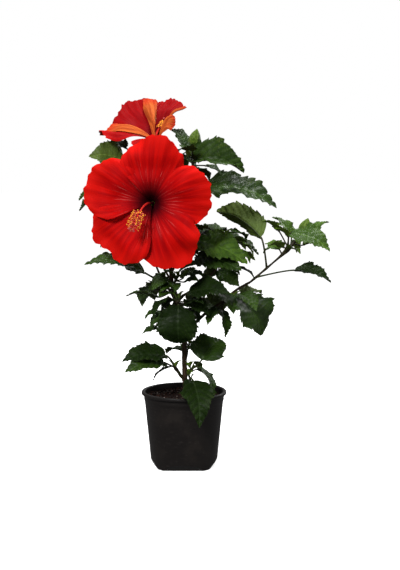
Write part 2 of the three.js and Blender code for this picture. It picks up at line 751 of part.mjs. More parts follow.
// The shoots, leaves and buds of each mass. What is trained comes first, so that what the rule adds
// keeps clear of it.
function growAll() {
  const taken = []; // [points, the mass that they belong to]
  for (const { curve, path } of Object.values(limbs)) {
    const length = path[path.length - 1].distanceTo(path[0]);
    taken.push([limbSamples(curve, length), ""]);
  }
  for (const bloom of Object.values(BLOOMS)) {
    const frame = bloomFrame(bloom);
    for (const petal of bloom.petals)
      taken.push([petalSamples(frame, { ...PETAL, ...petal }), ""]);
    taken.push([[...bloom.stalk.map(vec), vec(bloom.foot), vec(bloom.seat)], ""]);
  }
  const grown = {};
  for (const [name, given] of Object.entries(MASSES)) {
    const mass = { ...RULE, ...given };
    const path = mass.stem.map(vec);
    const stem = { path, curve: curveOf(path), radii: [1.5, 1.1], leaves: [], buds: mass.buds };
    for (const row of mass.trained) stem.leaves.push({ ...LEAF, face: row.to, ...row });
    for (const leaf of stem.leaves) taken.push([leafSamples(stem, leaf), name]);
    taken.push([limbSamples(stem.curve, path[2].distanceTo(path[0])), name]);
    grown[name] = { mass, shoots: [stem] };
  }
  const middle = new THREE.Vector3();
  for (const [name, { mass, shoots }] of Object.entries(grown)) {
    const roll = dice(mass.seed);
    const stem = shoots[0];
    middle.copy(stem.curve.getPoint(0.5));
    for (let i = 0; i < mass.twigs; i++) {
      const foot = stem.curve.getPoint(0.35 + (0.5 * i) / mass.twigs);
      const way = heading(mass.start + 90 + GOLDEN * i + 10 * roll(), 25 + 8 * roll());
      const length = 0.8 * mass.size * (1 + 0.1 * roll());
      const tip = foot.clone().addScaledVector(way, length);
      const knee = foot.clone().lerp(tip, 0.5);
      tip.z += 0.15 * length;
      const path = [foot, knee, tip];
      shoots.push({ path, curve: curveOf(path), radii: [1.2, 0.9], leaves: [], buds: [] });
    }
    shoots.forEach((shoot, k) => {
      for (let i = 0; i < mass.more; i++) {
        const to = mass.start + GOLDEN * (i + 2 * k) + 12 * roll();
        const leaf = {
          ...LEAF,
          at: 0.3 + (0.7 * (i + 1)) / mass.more,
          to,
          rise: 28 + 12 * roll(),
          stalk: (0.34 + 0.08 * roll()) * mass.size,
          face: to + 14 * roll(),
          dip: 26 + 14 * roll(),
          roll: 12 * roll(),
          blade: mass.size * (1 + 0.14 * roll()),
        };
        leaf.at = Math.min(leaf.at, 1);
        const points = leafSamples(shoot, leaf);
        if (!points.every((p) => p.distanceTo(middle) < mass.room && p.z > 108)) continue;
        if (taken.some(([q, owner]) => !isClear(points, q, owner === name ? 5 : SPACE))) continue;
        shoot.leaves.push(leaf);
        taken.push([points, name]);
      }
    });
    // A twig that no leaf found room on is left off.
    grown[name].shoots = shoots.filter((shoot, k) => k === 0 || shoot.leaves.length);
  }
  return grown;
}

// ---------------------------------------------------------------- the shrub

const shrub = new THREE.Group();
shrub.name = "hibiscus_shrub";
const LOOKS = {
  pot: { color: 0x2a2b2d, roughness: 0.6 },
  soil: { color: 0x3a2a20, roughness: 1 },
  bark: { color: 0x4d4030, roughness: 0.8 },
  leaf: { color: 0x2f5a22, roughness: 0.45 },
  calyx: { color: 0x5d7a34, roughness: 0.6 },
  petal: { color: 0xd21a14, roughness: 0.55 },
  column: { color: 0xe59a3a, roughness: 0.7 },
};

function add(name, solid, look) {
  const mesh = solid.getMesh();
  const g = new THREE.BufferGeometry();
  g.setAttribute("position", new THREE.Float32BufferAttribute(mesh.vertProperties, 3));
  g.setIndex(new THREE.Uint32BufferAttribute(mesh.triVerts, 1));
  const flat = g.toNonIndexed();
  flat.computeVertexNormals();
  const made = new THREE.Mesh(flat, new THREE.MeshStandardMaterial(LOOKS[look]));
  made.name = name;
  shrub.add(made);
}

// A solid cut clear of the limbs that carry it.
function clearOf(solid, carriers) {
  for (const carrier of carriers) solid = solid.subtract(limbSolid(limbs[carrier], GAP));
  return whole(solid);
}

add("pot", potSolid(), "pot");
add("soil", soilSolid(), "soil");

for (const [name, shape] of Object.entries(limbs)) {
  let solid = limbSolid(shape);
  if (name === "trunk") solid = solid.trimByPlane([0, 0, 1], SOIL_TOP + GAP);
  add(name, clearOf(solid, shape.from), "bark");
}

for (const [name, { mass, shoots }] of Object.entries(growAll())) {
  const parts = [];
  for (const shoot of shoots) {
    parts.push(limbSolid({ ...shoot, sides: 4, steps: 4 }));
    for (const leaf of shoot.leaves) parts.push(leafSolid(shoot, leaf));
    for (const bud of shoot.buds) parts.push(...budSolid(shoot, bud));
  }
  add(name, clearOf(fuse(parts), mass.from), "leaf");
}

for (const [name, bloom] of Object.entries(BLOOMS)) {
  const frame = bloomFrame(bloom);
  const petals = bloom.petals.map((row) => petalSolid(frame, { ...PETAL, ...row }));
  add(name + "_petals", fuse(petals), "petal");
  const stalk = limbSolid({ path: bloom.stalk.map(vec), radii: [1.7, 1.9], sides: 6, steps: 4 });
  const cupFoot = frame.seat.clone().addScaledVector(frame.out, -8);
  const cup = limbSolid({
    path: [vec(bloom.stalk[2]), vec(bloom.foot), cupFoot, frame.seat],
    radii: [1.9, 5.4, 6.6, 6.8, 6.2],
    sides: 10,
    steps: 6,
  });
  add(name + "_calyx", clearOf(fuse([stalk, cup]), bloom.from), "calyx");
  const path = [frame.seat.clone().addScaledVector(frame.out, GAP)];
  for (const [compass, rise, length] of bloom.column)
    path.push(path[path.length - 1].clone().addScaledVector(heading(compass, rise), length));
  const column = limbSolid({
    path,
    radii: [1.7, 1.5, 1.4, 1.4, 1.4, 1.5, ...HEAD_RADII.map((r) => r * bloom.head)],
    sides: 8,
    steps: 9,
  });
  add(name + "_column", whole(column), "column");
}

export default shrub;
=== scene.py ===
"""Looks of a potted hibiscus shrub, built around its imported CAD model. Lengths are worked in
millimetres in the row frame (origin under the pot, +Z up) and turned to metres as meshes are made."""
from math import atan2, ceil, cos, hypot, pi, radians, sin, sqrt

import bpy
import numpy as np
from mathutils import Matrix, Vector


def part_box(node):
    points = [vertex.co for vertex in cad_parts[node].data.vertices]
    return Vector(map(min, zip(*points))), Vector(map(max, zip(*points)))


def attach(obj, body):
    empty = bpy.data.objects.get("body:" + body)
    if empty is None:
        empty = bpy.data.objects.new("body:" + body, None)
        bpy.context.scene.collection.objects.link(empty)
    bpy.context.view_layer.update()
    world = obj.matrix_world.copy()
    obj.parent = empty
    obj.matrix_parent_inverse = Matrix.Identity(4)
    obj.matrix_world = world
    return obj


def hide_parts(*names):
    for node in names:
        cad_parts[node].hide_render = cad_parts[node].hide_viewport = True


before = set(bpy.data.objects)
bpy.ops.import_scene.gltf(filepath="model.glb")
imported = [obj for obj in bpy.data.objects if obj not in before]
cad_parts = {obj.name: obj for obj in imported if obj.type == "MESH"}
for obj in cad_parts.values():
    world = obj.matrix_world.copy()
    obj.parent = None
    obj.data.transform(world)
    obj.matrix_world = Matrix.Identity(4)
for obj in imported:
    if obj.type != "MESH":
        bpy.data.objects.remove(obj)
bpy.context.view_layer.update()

MM = 0.001
GOLDEN = 137.5  # degrees from one leaf to the next round a shoot
GAP = 0.3  # from a bloom's seat to its petals and its column
UP = np.array([0.0, 0.0, 1.0])


class Sizes(dict):
    """Named sizes, read as attributes."""

    __getattr__ = dict.__getitem__

    def __or__(self, other):
        return Sizes({**self, **other})


# ---- vectors and curves


def unit(v):
    """Directions of length 1."""
    return v / np.maximum(np.linalg.norm(v, axis=-1, keepdims=True), 1e-12)


def heading(compass, rise):
    """Direction of a compass bearing (0 = +X, 90 = +Y) and a rise above level, in degrees."""
    c, r = radians(compass), radians(rise)
    return np.array([cos(r) * cos(c), cos(r) * sin(c), sin(r)])


def dice(seed):
    """Seeded numbers from -1 to 1."""
    state = seed

    def roll():
        nonlocal state
        state = (state * 1664525 + 1013904223) & 0xFFFFFFFF
        return state / 2147483648 - 1

    return roll


def curve(points, t):
    """Places at t, from 0 to 1, on the Catmull-Rom curve through points."""
    p = np.array(points, float)
    ends = np.vstack([2 * p[0] - p[1], p, 2 * p[-1] - p[-2]])
    place = np.clip(np.atleast_1d(t), 0, 1) * (len(p) - 1)
    i = np.minimum(place.astype(int), len(p) - 2)
    w = (place - i)[:, None]
    x0, x1, x2, x3 = ends[i], ends[i + 1], ends[i + 2], ends[i + 3]
    t0, t1 = 0.5 * (x2 - x0), 0.5 * (x3 - x1)
    return x1 + w * (t0 + w * (3 * (x2 - x1) - 2 * t0 - t1 + w * (2 * (x1 - x2) + t0 + t1)))


def noise(p, scale, seed=0):
    """Smooth seeded noise from -1 to 1 at points p, with bumps about scale across."""
    q = np.asarray(p, float) / scale
    cell = np.floor(q).astype(np.int64)
    f = q - cell
    f = f * f * (3 - 2 * f)
    total = np.zeros(q.shape[:-1])
    for corner in range(8):
        step = np.array([corner & 1, corner >> 1 & 1, corner >> 2])
        k = cell + step
        h = (k[..., 0] * 73856093) ^ (k[..., 1] * 19349663) ^ (k[..., 2] * 83492791) ^ (seed * 7919)
        h = ((h & 0xFFFFFFF) * 265443576) & 0xFFFFFFFF
        h = ((h ^ (h >> 15)) * 224682251) & 0xFFFFFFFF
        value = h / 2147483648 - 1
        total += value * np.prod(np.where(step, f, 1 - f), axis=-1)
    return total


def smooth(low, high, x):
    s = np.clip((x - low) / (high - low), 0, 1)
    return s * s * (3 - 2 * s)


def spoke(side, front, degrees):
    """The direction at an angle between two that are at right angles."""
    turn = radians(degrees)
    return side * cos(turn) + front * sin(turn)


def around(sides):
    """Angles of equal steps round a circle."""
    return np.arange(sides) * 2 * pi / sides


def ramp(count):
    return np.linspace(0, 1, count)


def gather(*parts):
    """Points, or places on a map, from arrays of their coordinates."""
    return np.stack(np.broadcast_arrays(*parts), -1)


# ---- meshes


class Batch:
    """Pieces of one kind, gathered as arrays and joined into one mesh."""

    def __init__(self):
        self.points = []
        self.loops = []
        self.sizes = []
        self.slots = []
        self.tints = []
        self.maps = {}
        self.count = 0

    def add(self, points, faces, slot=0, tint=0.0, **maps):
        """faces is a list of arrays, one row of corners each. Each map gives a (u, v) for each point."""
        points = np.asarray(points, float).reshape(-1, 3)
        for rows in faces:
            self.loops.append((rows + self.count).ravel())
            self.sizes.append(np.full(len(rows), rows.shape[1]))
            self.slots.append(np.full(len(rows), slot))
            for name, uv in maps.items():
                self.maps.setdefault(name, []).append(uv.reshape(-1, 2)[rows.ravel()])
        self.points.append(points)
        self.tints.append(np.broadcast_to(tint, len(points)))
        self.count += len(points)

    def make(self, name, materials, slot, replaces):
        """The mesh object, riding on the root body and standing for the CAD nodes in replaces."""
        mesh = bpy.data.meshes.new(name)
        points = np.vstack(self.points) * MM
        loops = np.concatenate(self.loops)
        sizes = np.concatenate(self.sizes)
        mesh.vertices.add(len(points))
        mesh.vertices.foreach_set("co", points.ravel())
        mesh.loops.add(len(loops))
        mesh.loops.foreach_set("vertex_index", loops)
        mesh.polygons.add(len(sizes))
        mesh.polygons.foreach_set("loop_start", np.cumsum(sizes) - sizes)
        mesh.polygons.foreach_set("material_index", np.concatenate(self.slots))
        mesh.polygons.foreach_set("use_smooth", np.ones(len(sizes), bool))
        for name_of_map, parts in self.maps.items():
            layer = mesh.uv_layers.new(name=name_of_map)
            layer.uv.foreach_set("vector", np.vstack(parts).ravel())
        tint = mesh.attributes.new("tint", "FLOAT", "POINT")
        tint.data.foreach_set("value", np.concatenate(self.tints))
        for material in materials:
            mesh.materials.append(material)
        mesh.update(calc_edges=True)
        made = bpy.data.objects.new(name, mesh)
        bpy.context.scene.collection.objects.link(made)
        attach(made, "root")
        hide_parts(*replaces)
        return made


def grid(rows, columns, ring=False, flip=False):
    """The quads of a grid of points, closed round on itself if ring."""
    i = np.arange(rows - 1)[:, None] * columns
    j = np.arange(columns if ring else columns - 1)[None, :]
    k = (j + 1) % columns
    quads = np.stack([i + j, i + k, i + columns + k, i + columns + j], -1).reshape(-1, 4)
    return quads[:, ::-1] if flip else quads


def frames(centres):
    """Directions along and across a path, carried along it without twisting."""
    ways = unit(np.gradient(centres, axis=0))
    side = np.cross(ways[0], np.eye(3)[np.argmin(np.abs(ways[0]))])
    sides = np.empty_like(centres)
    for i, way in enumerate(ways):
        side = side - way * np.dot(side, way)
        side = side / np.linalg.norm(side)
        sides[i] = side
    return ways, sides, np.cross(sides, ways)


def add_rings(batch, rings, foot, tip, slot=0, tint=0.0, flip=False):
    """A closed skin over rings of points, drawn together in one point at each end."""
    count, sides = rings.shape[:2]
    j = np.arange(sides)
    k = (j + 1) % sides
    n = count * sides
    low = np.stack([k, j, np.full(sides, n)], -1)
    high = np.stack([n - sides + j, n - sides + k, np.full(sides, n + 1)], -1)
    faces = [grid(count, sides, ring=True), low, high]
    if flip:
        faces = [rows[:, ::-1] for rows in faces]
    batch.add(np.vstack([rings.reshape(-1, 3), [foot, tip]]), faces, slot, tint)


def tube(batch, centres, radii, sides=8, slot=0, tint=0.0, relief=None):
    """A round rod along centres. relief(turn, i) scales the radius of ring i."""
    centres = np.asarray(centres, float)
    radii = np.broadcast_to(np.asarray(radii, float), len(centres))
    _, side, front = frames(centres)
    turn = around(sides)
    reach = radii[:, None] * np.ones(sides)
    if relief:
        reach = reach * relief(turn[None, :], np.arange(len(centres))[:, None])
    turn = turn[None, :, None]
    ways = np.cos(turn) * side[:, None] + np.sin(turn) * front[:, None]
    rings = centres[:, None] + reach[..., None] * ways
    add_rings(batch, rings, centres[0], centres[-1], slot, tint)


def ball(batch, centre, axes, slot=0, rings=6, sides=8, rough=0.0, seed=0):
    """A closed rounded lump whose half axes are the rows of axes."""
    up = np.linspace(-pi / 2, pi / 2, rings + 1)[1:-1, None]
    turn = around(sides)[None]
    level = np.cos(up)
    way = gather(level * np.cos(turn), level * np.sin(turn), np.sin(up))
    way = np.vstack([way.reshape(-1, 3), [[0, 0, -1], [0, 0, 1]]])
    if rough:
        way = way * (1 + rough * noise(way + seed * 3.7, 0.8, seed))[:, None]
    points = centre + way @ np.asarray(axes, float)
    add_rings(batch, points[:-2].reshape(rings - 1, sides, 3), points[-2], points[-1], slot)


# ---- materials


class Wire:
    """A node's output, on which arithmetic makes Math nodes."""

    def __init__(self, nodes, socket):
        self.nodes = nodes
        self.socket = socket

    def __add__(self, other):
        return self.nodes.math("ADD", self, other)

    def __mul__(self, other):
        return self.nodes.math("MULTIPLY", self, other)

    def __sub__(self, other):
        return self.nodes.math("SUBTRACT", self, other)

    def __rsub__(self, other):
        return self.nodes.math("SUBTRACT", other, self)


class Nodes:
    """Short calls that add nodes to a tree and give their outputs as wires."""

    def __init__(self, tree):
        self.tree = tree

    def node(self, kind, inputs=(), out=0, **settings):
        made = self.tree.nodes.new("ShaderNode" + kind)
        for key, value in settings.items():
            setattr(made, key, value)
        for key, value in dict(inputs).items():
            self.feed(made.inputs[key], value)
        return Wire(self, made.outputs[out])

    def feed(self, socket, value):
        if isinstance(value, Wire):
            self.tree.links.new(value.socket, socket)
        elif socket.type == "RGBA":
            socket.default_value = (*value, 1)
        else:
            socket.default_value = value

    def math(self, operation, *values):
        return self.node("Math", enumerate(values), operation=operation)

    def step(self, value, low, high):
        """0 below low and 1 above high, smoothly."""
        inputs = {0: value, 1: low, 2: high}
        return self.node("MapRange", inputs, interpolation_type="SMOOTHSTEP")

    def blend(self, factor, a, b):
        return self.node("Mix", {0: factor, 6: a, 7: b}, 2, data_type="RGBA")

    def place(self):
        """The row frame's coordinates, in metres."""
        return self.node("TexCoord", out="Object")

    def noise(self, scale, detail=3.0, vector=None, rough=0.55):
        vector = vector or self.place()
        inputs = {"Vector": vector, "Scale": scale, "Detail": detail, "Roughness": rough}
        return self.node("TexNoise", inputs, "Fac")

    def spots(self, scale, vector=None, feature="F1"):
        inputs = {"Vector": vector or self.place(), "Scale": scale}
        return self.node("TexVoronoi", inputs, "Distance", feature=feature)

    def split(self, vector):
        node = self.node("SeparateXYZ", {0: vector}).socket.node
        return [Wire(self, socket) for socket in node.outputs]

    def join(self, x, y, z=0.0):
        return self.node("CombineXYZ", {0: x, 1: y, 2: z})

    def uv(self, name):
        return self.node("UVMap", uv_map=name)

    def tint(self):
        return self.node("Attribute", out="Fac", attribute_name="tint")


class Shader(Nodes):
    """A Principled material."""

    def __init__(self, name, **sockets):
        self.material = bpy.data.materials.new(name)
        self.material.use_nodes = True
        super().__init__(self.material.node_tree)
        for socket, value in sockets.items():
            self.put(socket.replace("_", " "), value)

    def put(self, socket, value):
        self.feed(self.tree.nodes["Principled BSDF"].inputs[socket], value)

    def colour(self, value):
        self.put("Base Color", value)

    def roughness(self, value):
        self.put("Roughness", value)

    def bump(self, height, depth):
        """Relief of depth metres for a height from 0 to 1."""
        self.put("Normal", self.node("Bump", {"Height": height, "Distance": depth}))


VEIN_PAIRS = 7.0  # side veins on each half of a blade
VEIN_LEAN = 0.78  # how far a side vein runs forward for each unit outward
VEIN_BOW = 0.9  # how much more with the square of the way outward
RIB_SHOWS = 0.5  # how much of the ribs' colour the veins take


def leaf_material(name, deep, light, rib, gloss, sheen):
    """A blade's face. The map Leaf holds the place on the blade in blade lengths, x from its foot."""
    s = Shader(name, Specular_IOR_Level=sheen)
    x, y, _ = s.split(s.uv("Leaf"))
    out = s.math("ABSOLUTE", y)
    along = x - out * VEIN_LEAN - out * out * VEIN_BOW
    near = s.math("ABSOLUTE", s.math("FRACT", along * VEIN_PAIRS + 10.0) - 0.5)
    vein = s.math("MAXIMUM", s.step(near, 0.44, 0.5) * 0.75, s.step(out, 0.016, 0.004))
    net = s.step(s.spots(420.0, feature="DISTANCE_TO_EDGE"), 0.12, 0.02)
    vein = s.math("MAXIMUM", vein, net * 0.28)
    mottle = s.step(s.noise(38.0, 4.0), 0.35, 0.68)
    # painted shade: the blade's colour is darkened in the sunk grooves along the side veins, where shade
    # falls between the swellings
    groove_shade = s.step(near, 0.3, 0.48) * s.step(out, 0.0, 0.05)
    tint = (s.tint() * 0.5 + mottle * 0.5) * (1.0 - groove_shade * 0.85)
    s.colour(s.blend(vein * RIB_SHOWS, s.blend(tint, deep, light), rib))
    s.roughness(s.noise(160.0) * 0.22 + (gloss - 0.11))
    s.bump(s.noise(900.0, 2.0) - net * 0.8, 0.00015)
    return s.material


# painted shade: the dark look serves leaves low down and deep in the crown, darker for the shade they lie
# in as well as for their own dark green. The backs' paler colours are partly their own and partly painted
# light that shines through the blade.
LEAF_LOOKS = {
    # look: deep and light colours of the upper face, then of the back
    "dark": ((0.003, 0.008, 0.001), (0.012, 0.028, 0.003), (0.010, 0.020, 0.004), (0.030, 0.048, 0.010)),
    "mid": ((0.005, 0.016, 0.002), (0.033, 0.072, 0.006), (0.021, 0.039, 0.005), (0.060, 0.091, 0.014)),
    "fresh": ((0.013, 0.038, 0.004), (0.070, 0.140, 0.012), (0.040, 0.074, 0.009), (0.100, 0.155, 0.022)),
    "bright": ((0.036, 0.090, 0.007), (0.125, 0.225, 0.016), (0.065, 0.115, 0.014), (0.150, 0.225, 0.032)),
    "olive": ((0.036, 0.060, 0.008), (0.095, 0.145, 0.020), (0.050, 0.082, 0.011), (0.110, 0.160, 0.024)),
}
LEAF_MATERIALS = []
LEAF_SLOT = {}
for look, (deep, light, back_deep, back_light) in LEAF_LOOKS.items():
    LEAF_SLOT[look] = len(LEAF_MATERIALS)
    rib = tuple(1.5 * c + 0.015 for c in light)
    sheen = 0.06 if look == "dark" else 0.15
    LEAF_MATERIALS.append(leaf_material("leaf_" + look, deep, light, rib, 0.36, sheen))
    rib = tuple(1.4 * c + 0.02 for c in back_light)
    LEAF_MATERIALS.append(leaf_material("leaf_back_" + look, back_deep, back_light, rib, 0.65, 0.15))


def shoot_material():
    """Green shoots and leaf stalks, browner where the tint is high."""
    s = Shader("green_shoot", Roughness=0.5, Specular_IOR_Level=0.15)
    fleck = s.step(s.noise(600.0, 2.0), 0.4, 0.7)
    green = s.blend(fleck, (0.022, 0.038, 0.010), (0.048, 0.072, 0.018))
    brown = s.blend(fleck, (0.020, 0.013, 0.009), (0.048, 0.030, 0.018))
    s.colour(s.blend(s.tint(), green, brown))
    s.bump(s.noise(1500.0, 2.0), 0.0001)
    return s.material


def bark_material():
    """Brown bark at the foot that turns to green wood higher up."""
    s = Shader("bark", Roughness=0.75, Specular_IOR_Level=0.12)
    x, y, z = s.split(s.place())
    fissure = s.noise(95.0, 5.0, s.join(x * 5.0, y * 5.0, z), 0.65)
    lenticel = s.step(s.spots(330.0, s.join(x, y, z * 1.9)), 0.24, 0.12)
    old = s.blend(s.step(fissure, 0.38, 0.66), (0.020, 0.011, 0.006), (0.092, 0.048, 0.028))
    young = s.blend(s.step(fissure, 0.35, 0.7), (0.020, 0.014, 0.008), (0.064, 0.044, 0.024))
    wood = s.blend(s.step(z + fissure * 0.03, 0.115, 0.185), old, young)
    s.colour(s.blend(lenticel * 0.55, wood, (0.12, 0.085, 0.05)))
    s.bump(fissure + lenticel * 0.4, 0.0004)
    return s.material


THROAT_DARK = (0.032, 0.001, 0.003)
CRIMSON = (0.26, 0.002, 0.005)  # round the throat


def petal_material(name, deep, body, streak, rim, shaded, eye):
    """A petal's face. The map Petal holds the place: u from the throat to the rim, v across."""
    s = Shader(name, Roughness=0.6, Specular_IOR_Level=0.03)
    u, v, _ = s.split(s.uv("Petal"))
    fan = s.join(v * 26.0, u * 1.6)
    fine = s.noise(1.0, 3.0, fan, 0.6)
    broad = s.noise(0.35, 2.0, fan)
    ray = s.step(fine, 0.58, 0.70) * (s.step(u, 0.12, 0.26) * s.step(u, 0.82, 0.35))
    base = s.blend(s.step(broad, 0.3, 0.7), deep, body)
    base = s.blend(s.step(u, 0.7, 1.0) * 0.8, base, rim)
    base = s.blend(ray * 0.7, base, streak)
    edge = u + (fine - 0.5) * 0.22
    base = s.blend(s.step(edge, 0.68, 0.24) * (0.6 * eye), base, CRIMSON)
    base = s.blend(s.step(edge, 0.42, 0.11) * eye, base, THROAT_DARK)
    s.colour(s.blend(s.tint() * (fine * 0.6 + 0.55), base, shaded))
    s.bump(fine * 0.8 + s.noise(1300.0, 2.0) * 0.25, 0.0004)
    return s.material


PETAL_LOOKS = {
    # name: deep, body, streak, rim and shaded colours, and how much of the dark eye shows
    "petal_face": (
        (0.32, 0.001, 0.002), (0.54, 0.003, 0.002), (0.78, 0.20, 0.18), (0.60, 0.006, 0.003),
        (0.14, 0.001, 0.003), 1.0),
    "petal_back": (
        (0.34, 0.050, 0.012), (0.56, 0.120, 0.022), (0.66, 0.26, 0.09), (0.46, 0.020, 0.008),
        (0.30, 0.012, 0.005), 0.0),
}
PETAL_MATERIALS = [petal_material(name, *look) for name, look in PETAL_LOOKS.items()]


def plain_material(name, low, high, rough, scale, depth, sheen=0.0):
    """Two tones mixed by fine noise, with its relief."""
    s = Shader(name, Roughness=rough, Sheen_Weight=sheen, Specular_IOR_Level=0.12)
    grain = s.noise(scale, 4.0)
    s.colour(s.blend(s.step(grain, 0.35, 0.68), low, high))
    s.bump(grain, depth)
    return s.material


def pot_material():
    """Black moulded plastic, a little dusty and scuffed."""
    s = Shader("pot_plastic", Specular_IOR_Level=0.2)
    x, y, z = s.split(s.place())
    ring = s.noise(70.0, 3.0, s.join(x, y, z * 6.0))
    scuff = s.step(s.noise(240.0, 5.0, s.join(x * 0.6, y, z * 2.2)), 0.56, 0.74)
    dust = s.step(s.noise(26.0, 5.0), 0.5, 0.75)
    plastic = s.blend(ring, (0.0068, 0.0054, 0.0050), (0.0115, 0.0094, 0.0088))
    plastic = s.blend(dust * 0.35, plastic, (0.031, 0.024, 0.019))
    s.colour(s.blend(scuff * 0.25, plastic, (0.05, 0.044, 0.04)))
    s.roughness(dust * 0.16 + 0.46)
    s.bump(s.noise(1800.0, 2.0) + ring, 0.00008)
    return s.material


def column_material():
    """The column's tube: red, and as dark as the throat at its foot, where the tint is high."""
    s = Shader("column_red", Roughness=0.55, Specular_IOR_Level=0.12)
    grain = s.noise(700.0, 3.0)
    red = s.blend(grain, (0.46, 0.008, 0.008), (0.62, 0.030, 0.020))
    s.colour(s.blend(s.tint(), red, THROAT_DARK))
    s.bump(grain, 0.0002)
    return s.material


BARK = bark_material()
SHOOT = shoot_material()
WOOD_MATERIALS = [BARK, SHOOT]
POT_PLASTIC = pot_material()
COMPOST = plain_material("compost", (0.005, 0.0022, 0.0018), (0.024, 0.011, 0.008), 0.95, 520.0, 0.0012)
CHIP = plain_material("bark_chip", (0.022, 0.008, 0.005), (0.075, 0.030, 0.019), 0.85, 700.0, 0.0004)
PERLITE = plain_material("perlite", (0.22, 0.19, 0.17), (0.50, 0.46, 0.42), 0.9, 900.0, 0.0004)
ROOTLET = plain_material("rootlet", (0.060, 0.040, 0.026), (0.150, 0.105, 0.070), 0.85, 900.0, 0.0002)
SEPAL = plain_material("sepal", (0.040, 0.080, 0.006), (0.105, 0.170, 0.018), 0.5, 420.0, 0.0003, 0.1)
BUD_PALE = plain_material("bud_rib", (0.090, 0.150, 0.022), (0.2, 0.28, 0.06), 0.5, 500.0, 0.0002, 0.1)
COLUMN_RED = column_material()
FILAMENT = plain_material("filament", (0.60, 0.060, 0.055), (0.75, 0.150, 0.110), 0.5, 900.0, 0.0001)
ANTHER = plain_material("anther", (0.80, 0.22, 0.012), (0.95, 0.46, 0.060), 0.85, 2400.0, 0.0003)
STIGMA = plain_material("stigma", (0.50, 0.020, 0.020), (0.72, 0.090, 0.060), 0.8, 2600.0, 0.0003, 0.6)

# ---- the rule of the leaves

LEAF = Sizes(
    at=1, to=0, rise=30, stalk=18, dip=25, blade=50, roll=0, wide=0.68, curl=40, fold=12, lobe=0,
    broad=0.62, look="mid", tone=0, folds=1)
TEETH = 10  # on each margin of a grown leaf


def outline(t, leaf):
    """Half the width of a blade at t along it, as a share of its greatest half width."""
    oval = np.sin(pi * t ** leaf.broad).clip(0) ** 0.75
    return oval + leaf.lobe * np.exp(-(((t - 0.4) / 0.09) ** 2))


def half_width(leaf, t):
    return leaf.blade * leaf.wide * 0.5 * outline(t, leaf)


def leaf_frame(shoot, leaf):
    """Foot of the stalk, foot of the blade, and the blade's forward, upper and side directions."""
    foot = curve(shoot.path, leaf.at)[0]
    base = foot + heading(leaf.to, leaf.rise) * leaf.stalk
    forward = heading(leaf.face, -leaf.dip)
    level = unit(UP - forward * np.dot(UP, forward))
    left = np.cross(level, forward)
    lean = radians(leaf.roll)
    upper = level * cos(lean) - left * sin(lean)
    return foot, base, forward, upper, np.cross(upper, forward)


def blade_places(spot, leaf, t, a, lift, trim=1.0):
    """Points of a blade: t along it, a across it from -1 to 1, lift off its middle face.
    trim scales its width, which makes the teeth."""
    _, base, forward, upper, side = spot
    t, a = np.broadcast_arrays(np.asarray(t, float), np.asarray(a, float))
    bend = radians(leaf.curl)
    half = bend / 2
    k = leaf.blade / (2 * sin(half))
    turn = (bend * (t - 0.5))[..., None]
    p = base + forward * k * (sin(half) + np.sin(turn)) + upper * k * (np.cos(turn) - cos(half))
    face = upper * np.cos(turn) + forward * np.sin(turn)
    reach = half_width(leaf, t)
    w = a * np.maximum(reach, 0.5) * trim
    fold = radians(leaf.fold)
    wave = 0.07 * reach * np.sin(9 * t + 2 * a + leaf.blade) * np.abs(a)
    p = p + side * (w * cos(fold))[..., None]
    return p + face * (np.abs(w) * sin(fold) + wave + lift)[..., None]


def leaf_samples(shoot, leaf):
    """Points on a leaf, for the space that it takes up."""
    spot = leaf_frame(shoot, leaf)
    t = np.arange(1, 7)[:, None] / 6.5
    a = np.array([-0.9, -0.45, 0, 0.45, 0.9])[None]
    blade = blade_places(spot, leaf, t, a, 0).reshape(-1, 3)
    return np.vstack([blade, spot[1], spot[0] + 0.6 * (spot[1] - spot[0])])


# ---- the rule of the petals

THROAT = 3.2  # radius at which the petals start
THROAT_SPREAD = 46  # degrees to each side that a petal takes up at the throat
PETAL = Sizes(
    spread=40, deep=38, reflex=6, reach=87, slant=0, tuck=0.24, sharp=2.4, notch=0, bow=0, twisted=False,
    shade=0)


def bloom_frame(bloom):
    """A bloom's throat, the way it faces, and two directions across it."""
    out = heading(*bloom.out)
    v = unit(UP - out * np.dot(UP, out))
    return np.array(bloom.seat, float), out, np.cross(v, out), v


def petal_places(spot, petal, t, a):
    """Points of a petal: t from the throat to the rim, a across it from -1 to 1."""
    seat, out, u, v = spot
    t, a = np.broadcast_arrays(np.asarray(t, float), np.asarray(a, float))
    spread = THROAT_SPREAD + (petal.spread - THROAT_SPREAD) * np.minimum(1, 3 * t)
    turn = np.radians(petal.at + a * spread * (1 + 0.15 * np.sin(pi * t)))
    drawn_in = petal.tuck * np.abs(a) ** petal.sharp + petal.notch * np.exp(-((5 * a) ** 2))
    tuck = 1 - drawn_in * t * t
    radial = THROAT + (petal.reach - THROAT) * t**1.25 * tuck
    cup = petal.deep * (1 - np.maximum(1 - t, 0) ** 2.6) - petal.reflex * t**4
    ruffle = 0.035 * petal.reach * t * t * np.sin(4.5 * a + 0.1 * petal.at)
    lap = 0.03 * petal.reach * a * np.minimum(1, 4 * t) - petal.slant * a * t
    lap = lap + petal.bow * (1 - a * a) * t * t
    p = seat + out * (GAP + cup + ruffle + lap)[..., None]
    p = p + (radial * np.cos(turn))[..., None] * u
    return p + (radial * np.sin(turn))[..., None] * v


# ---- the plant's own sizes

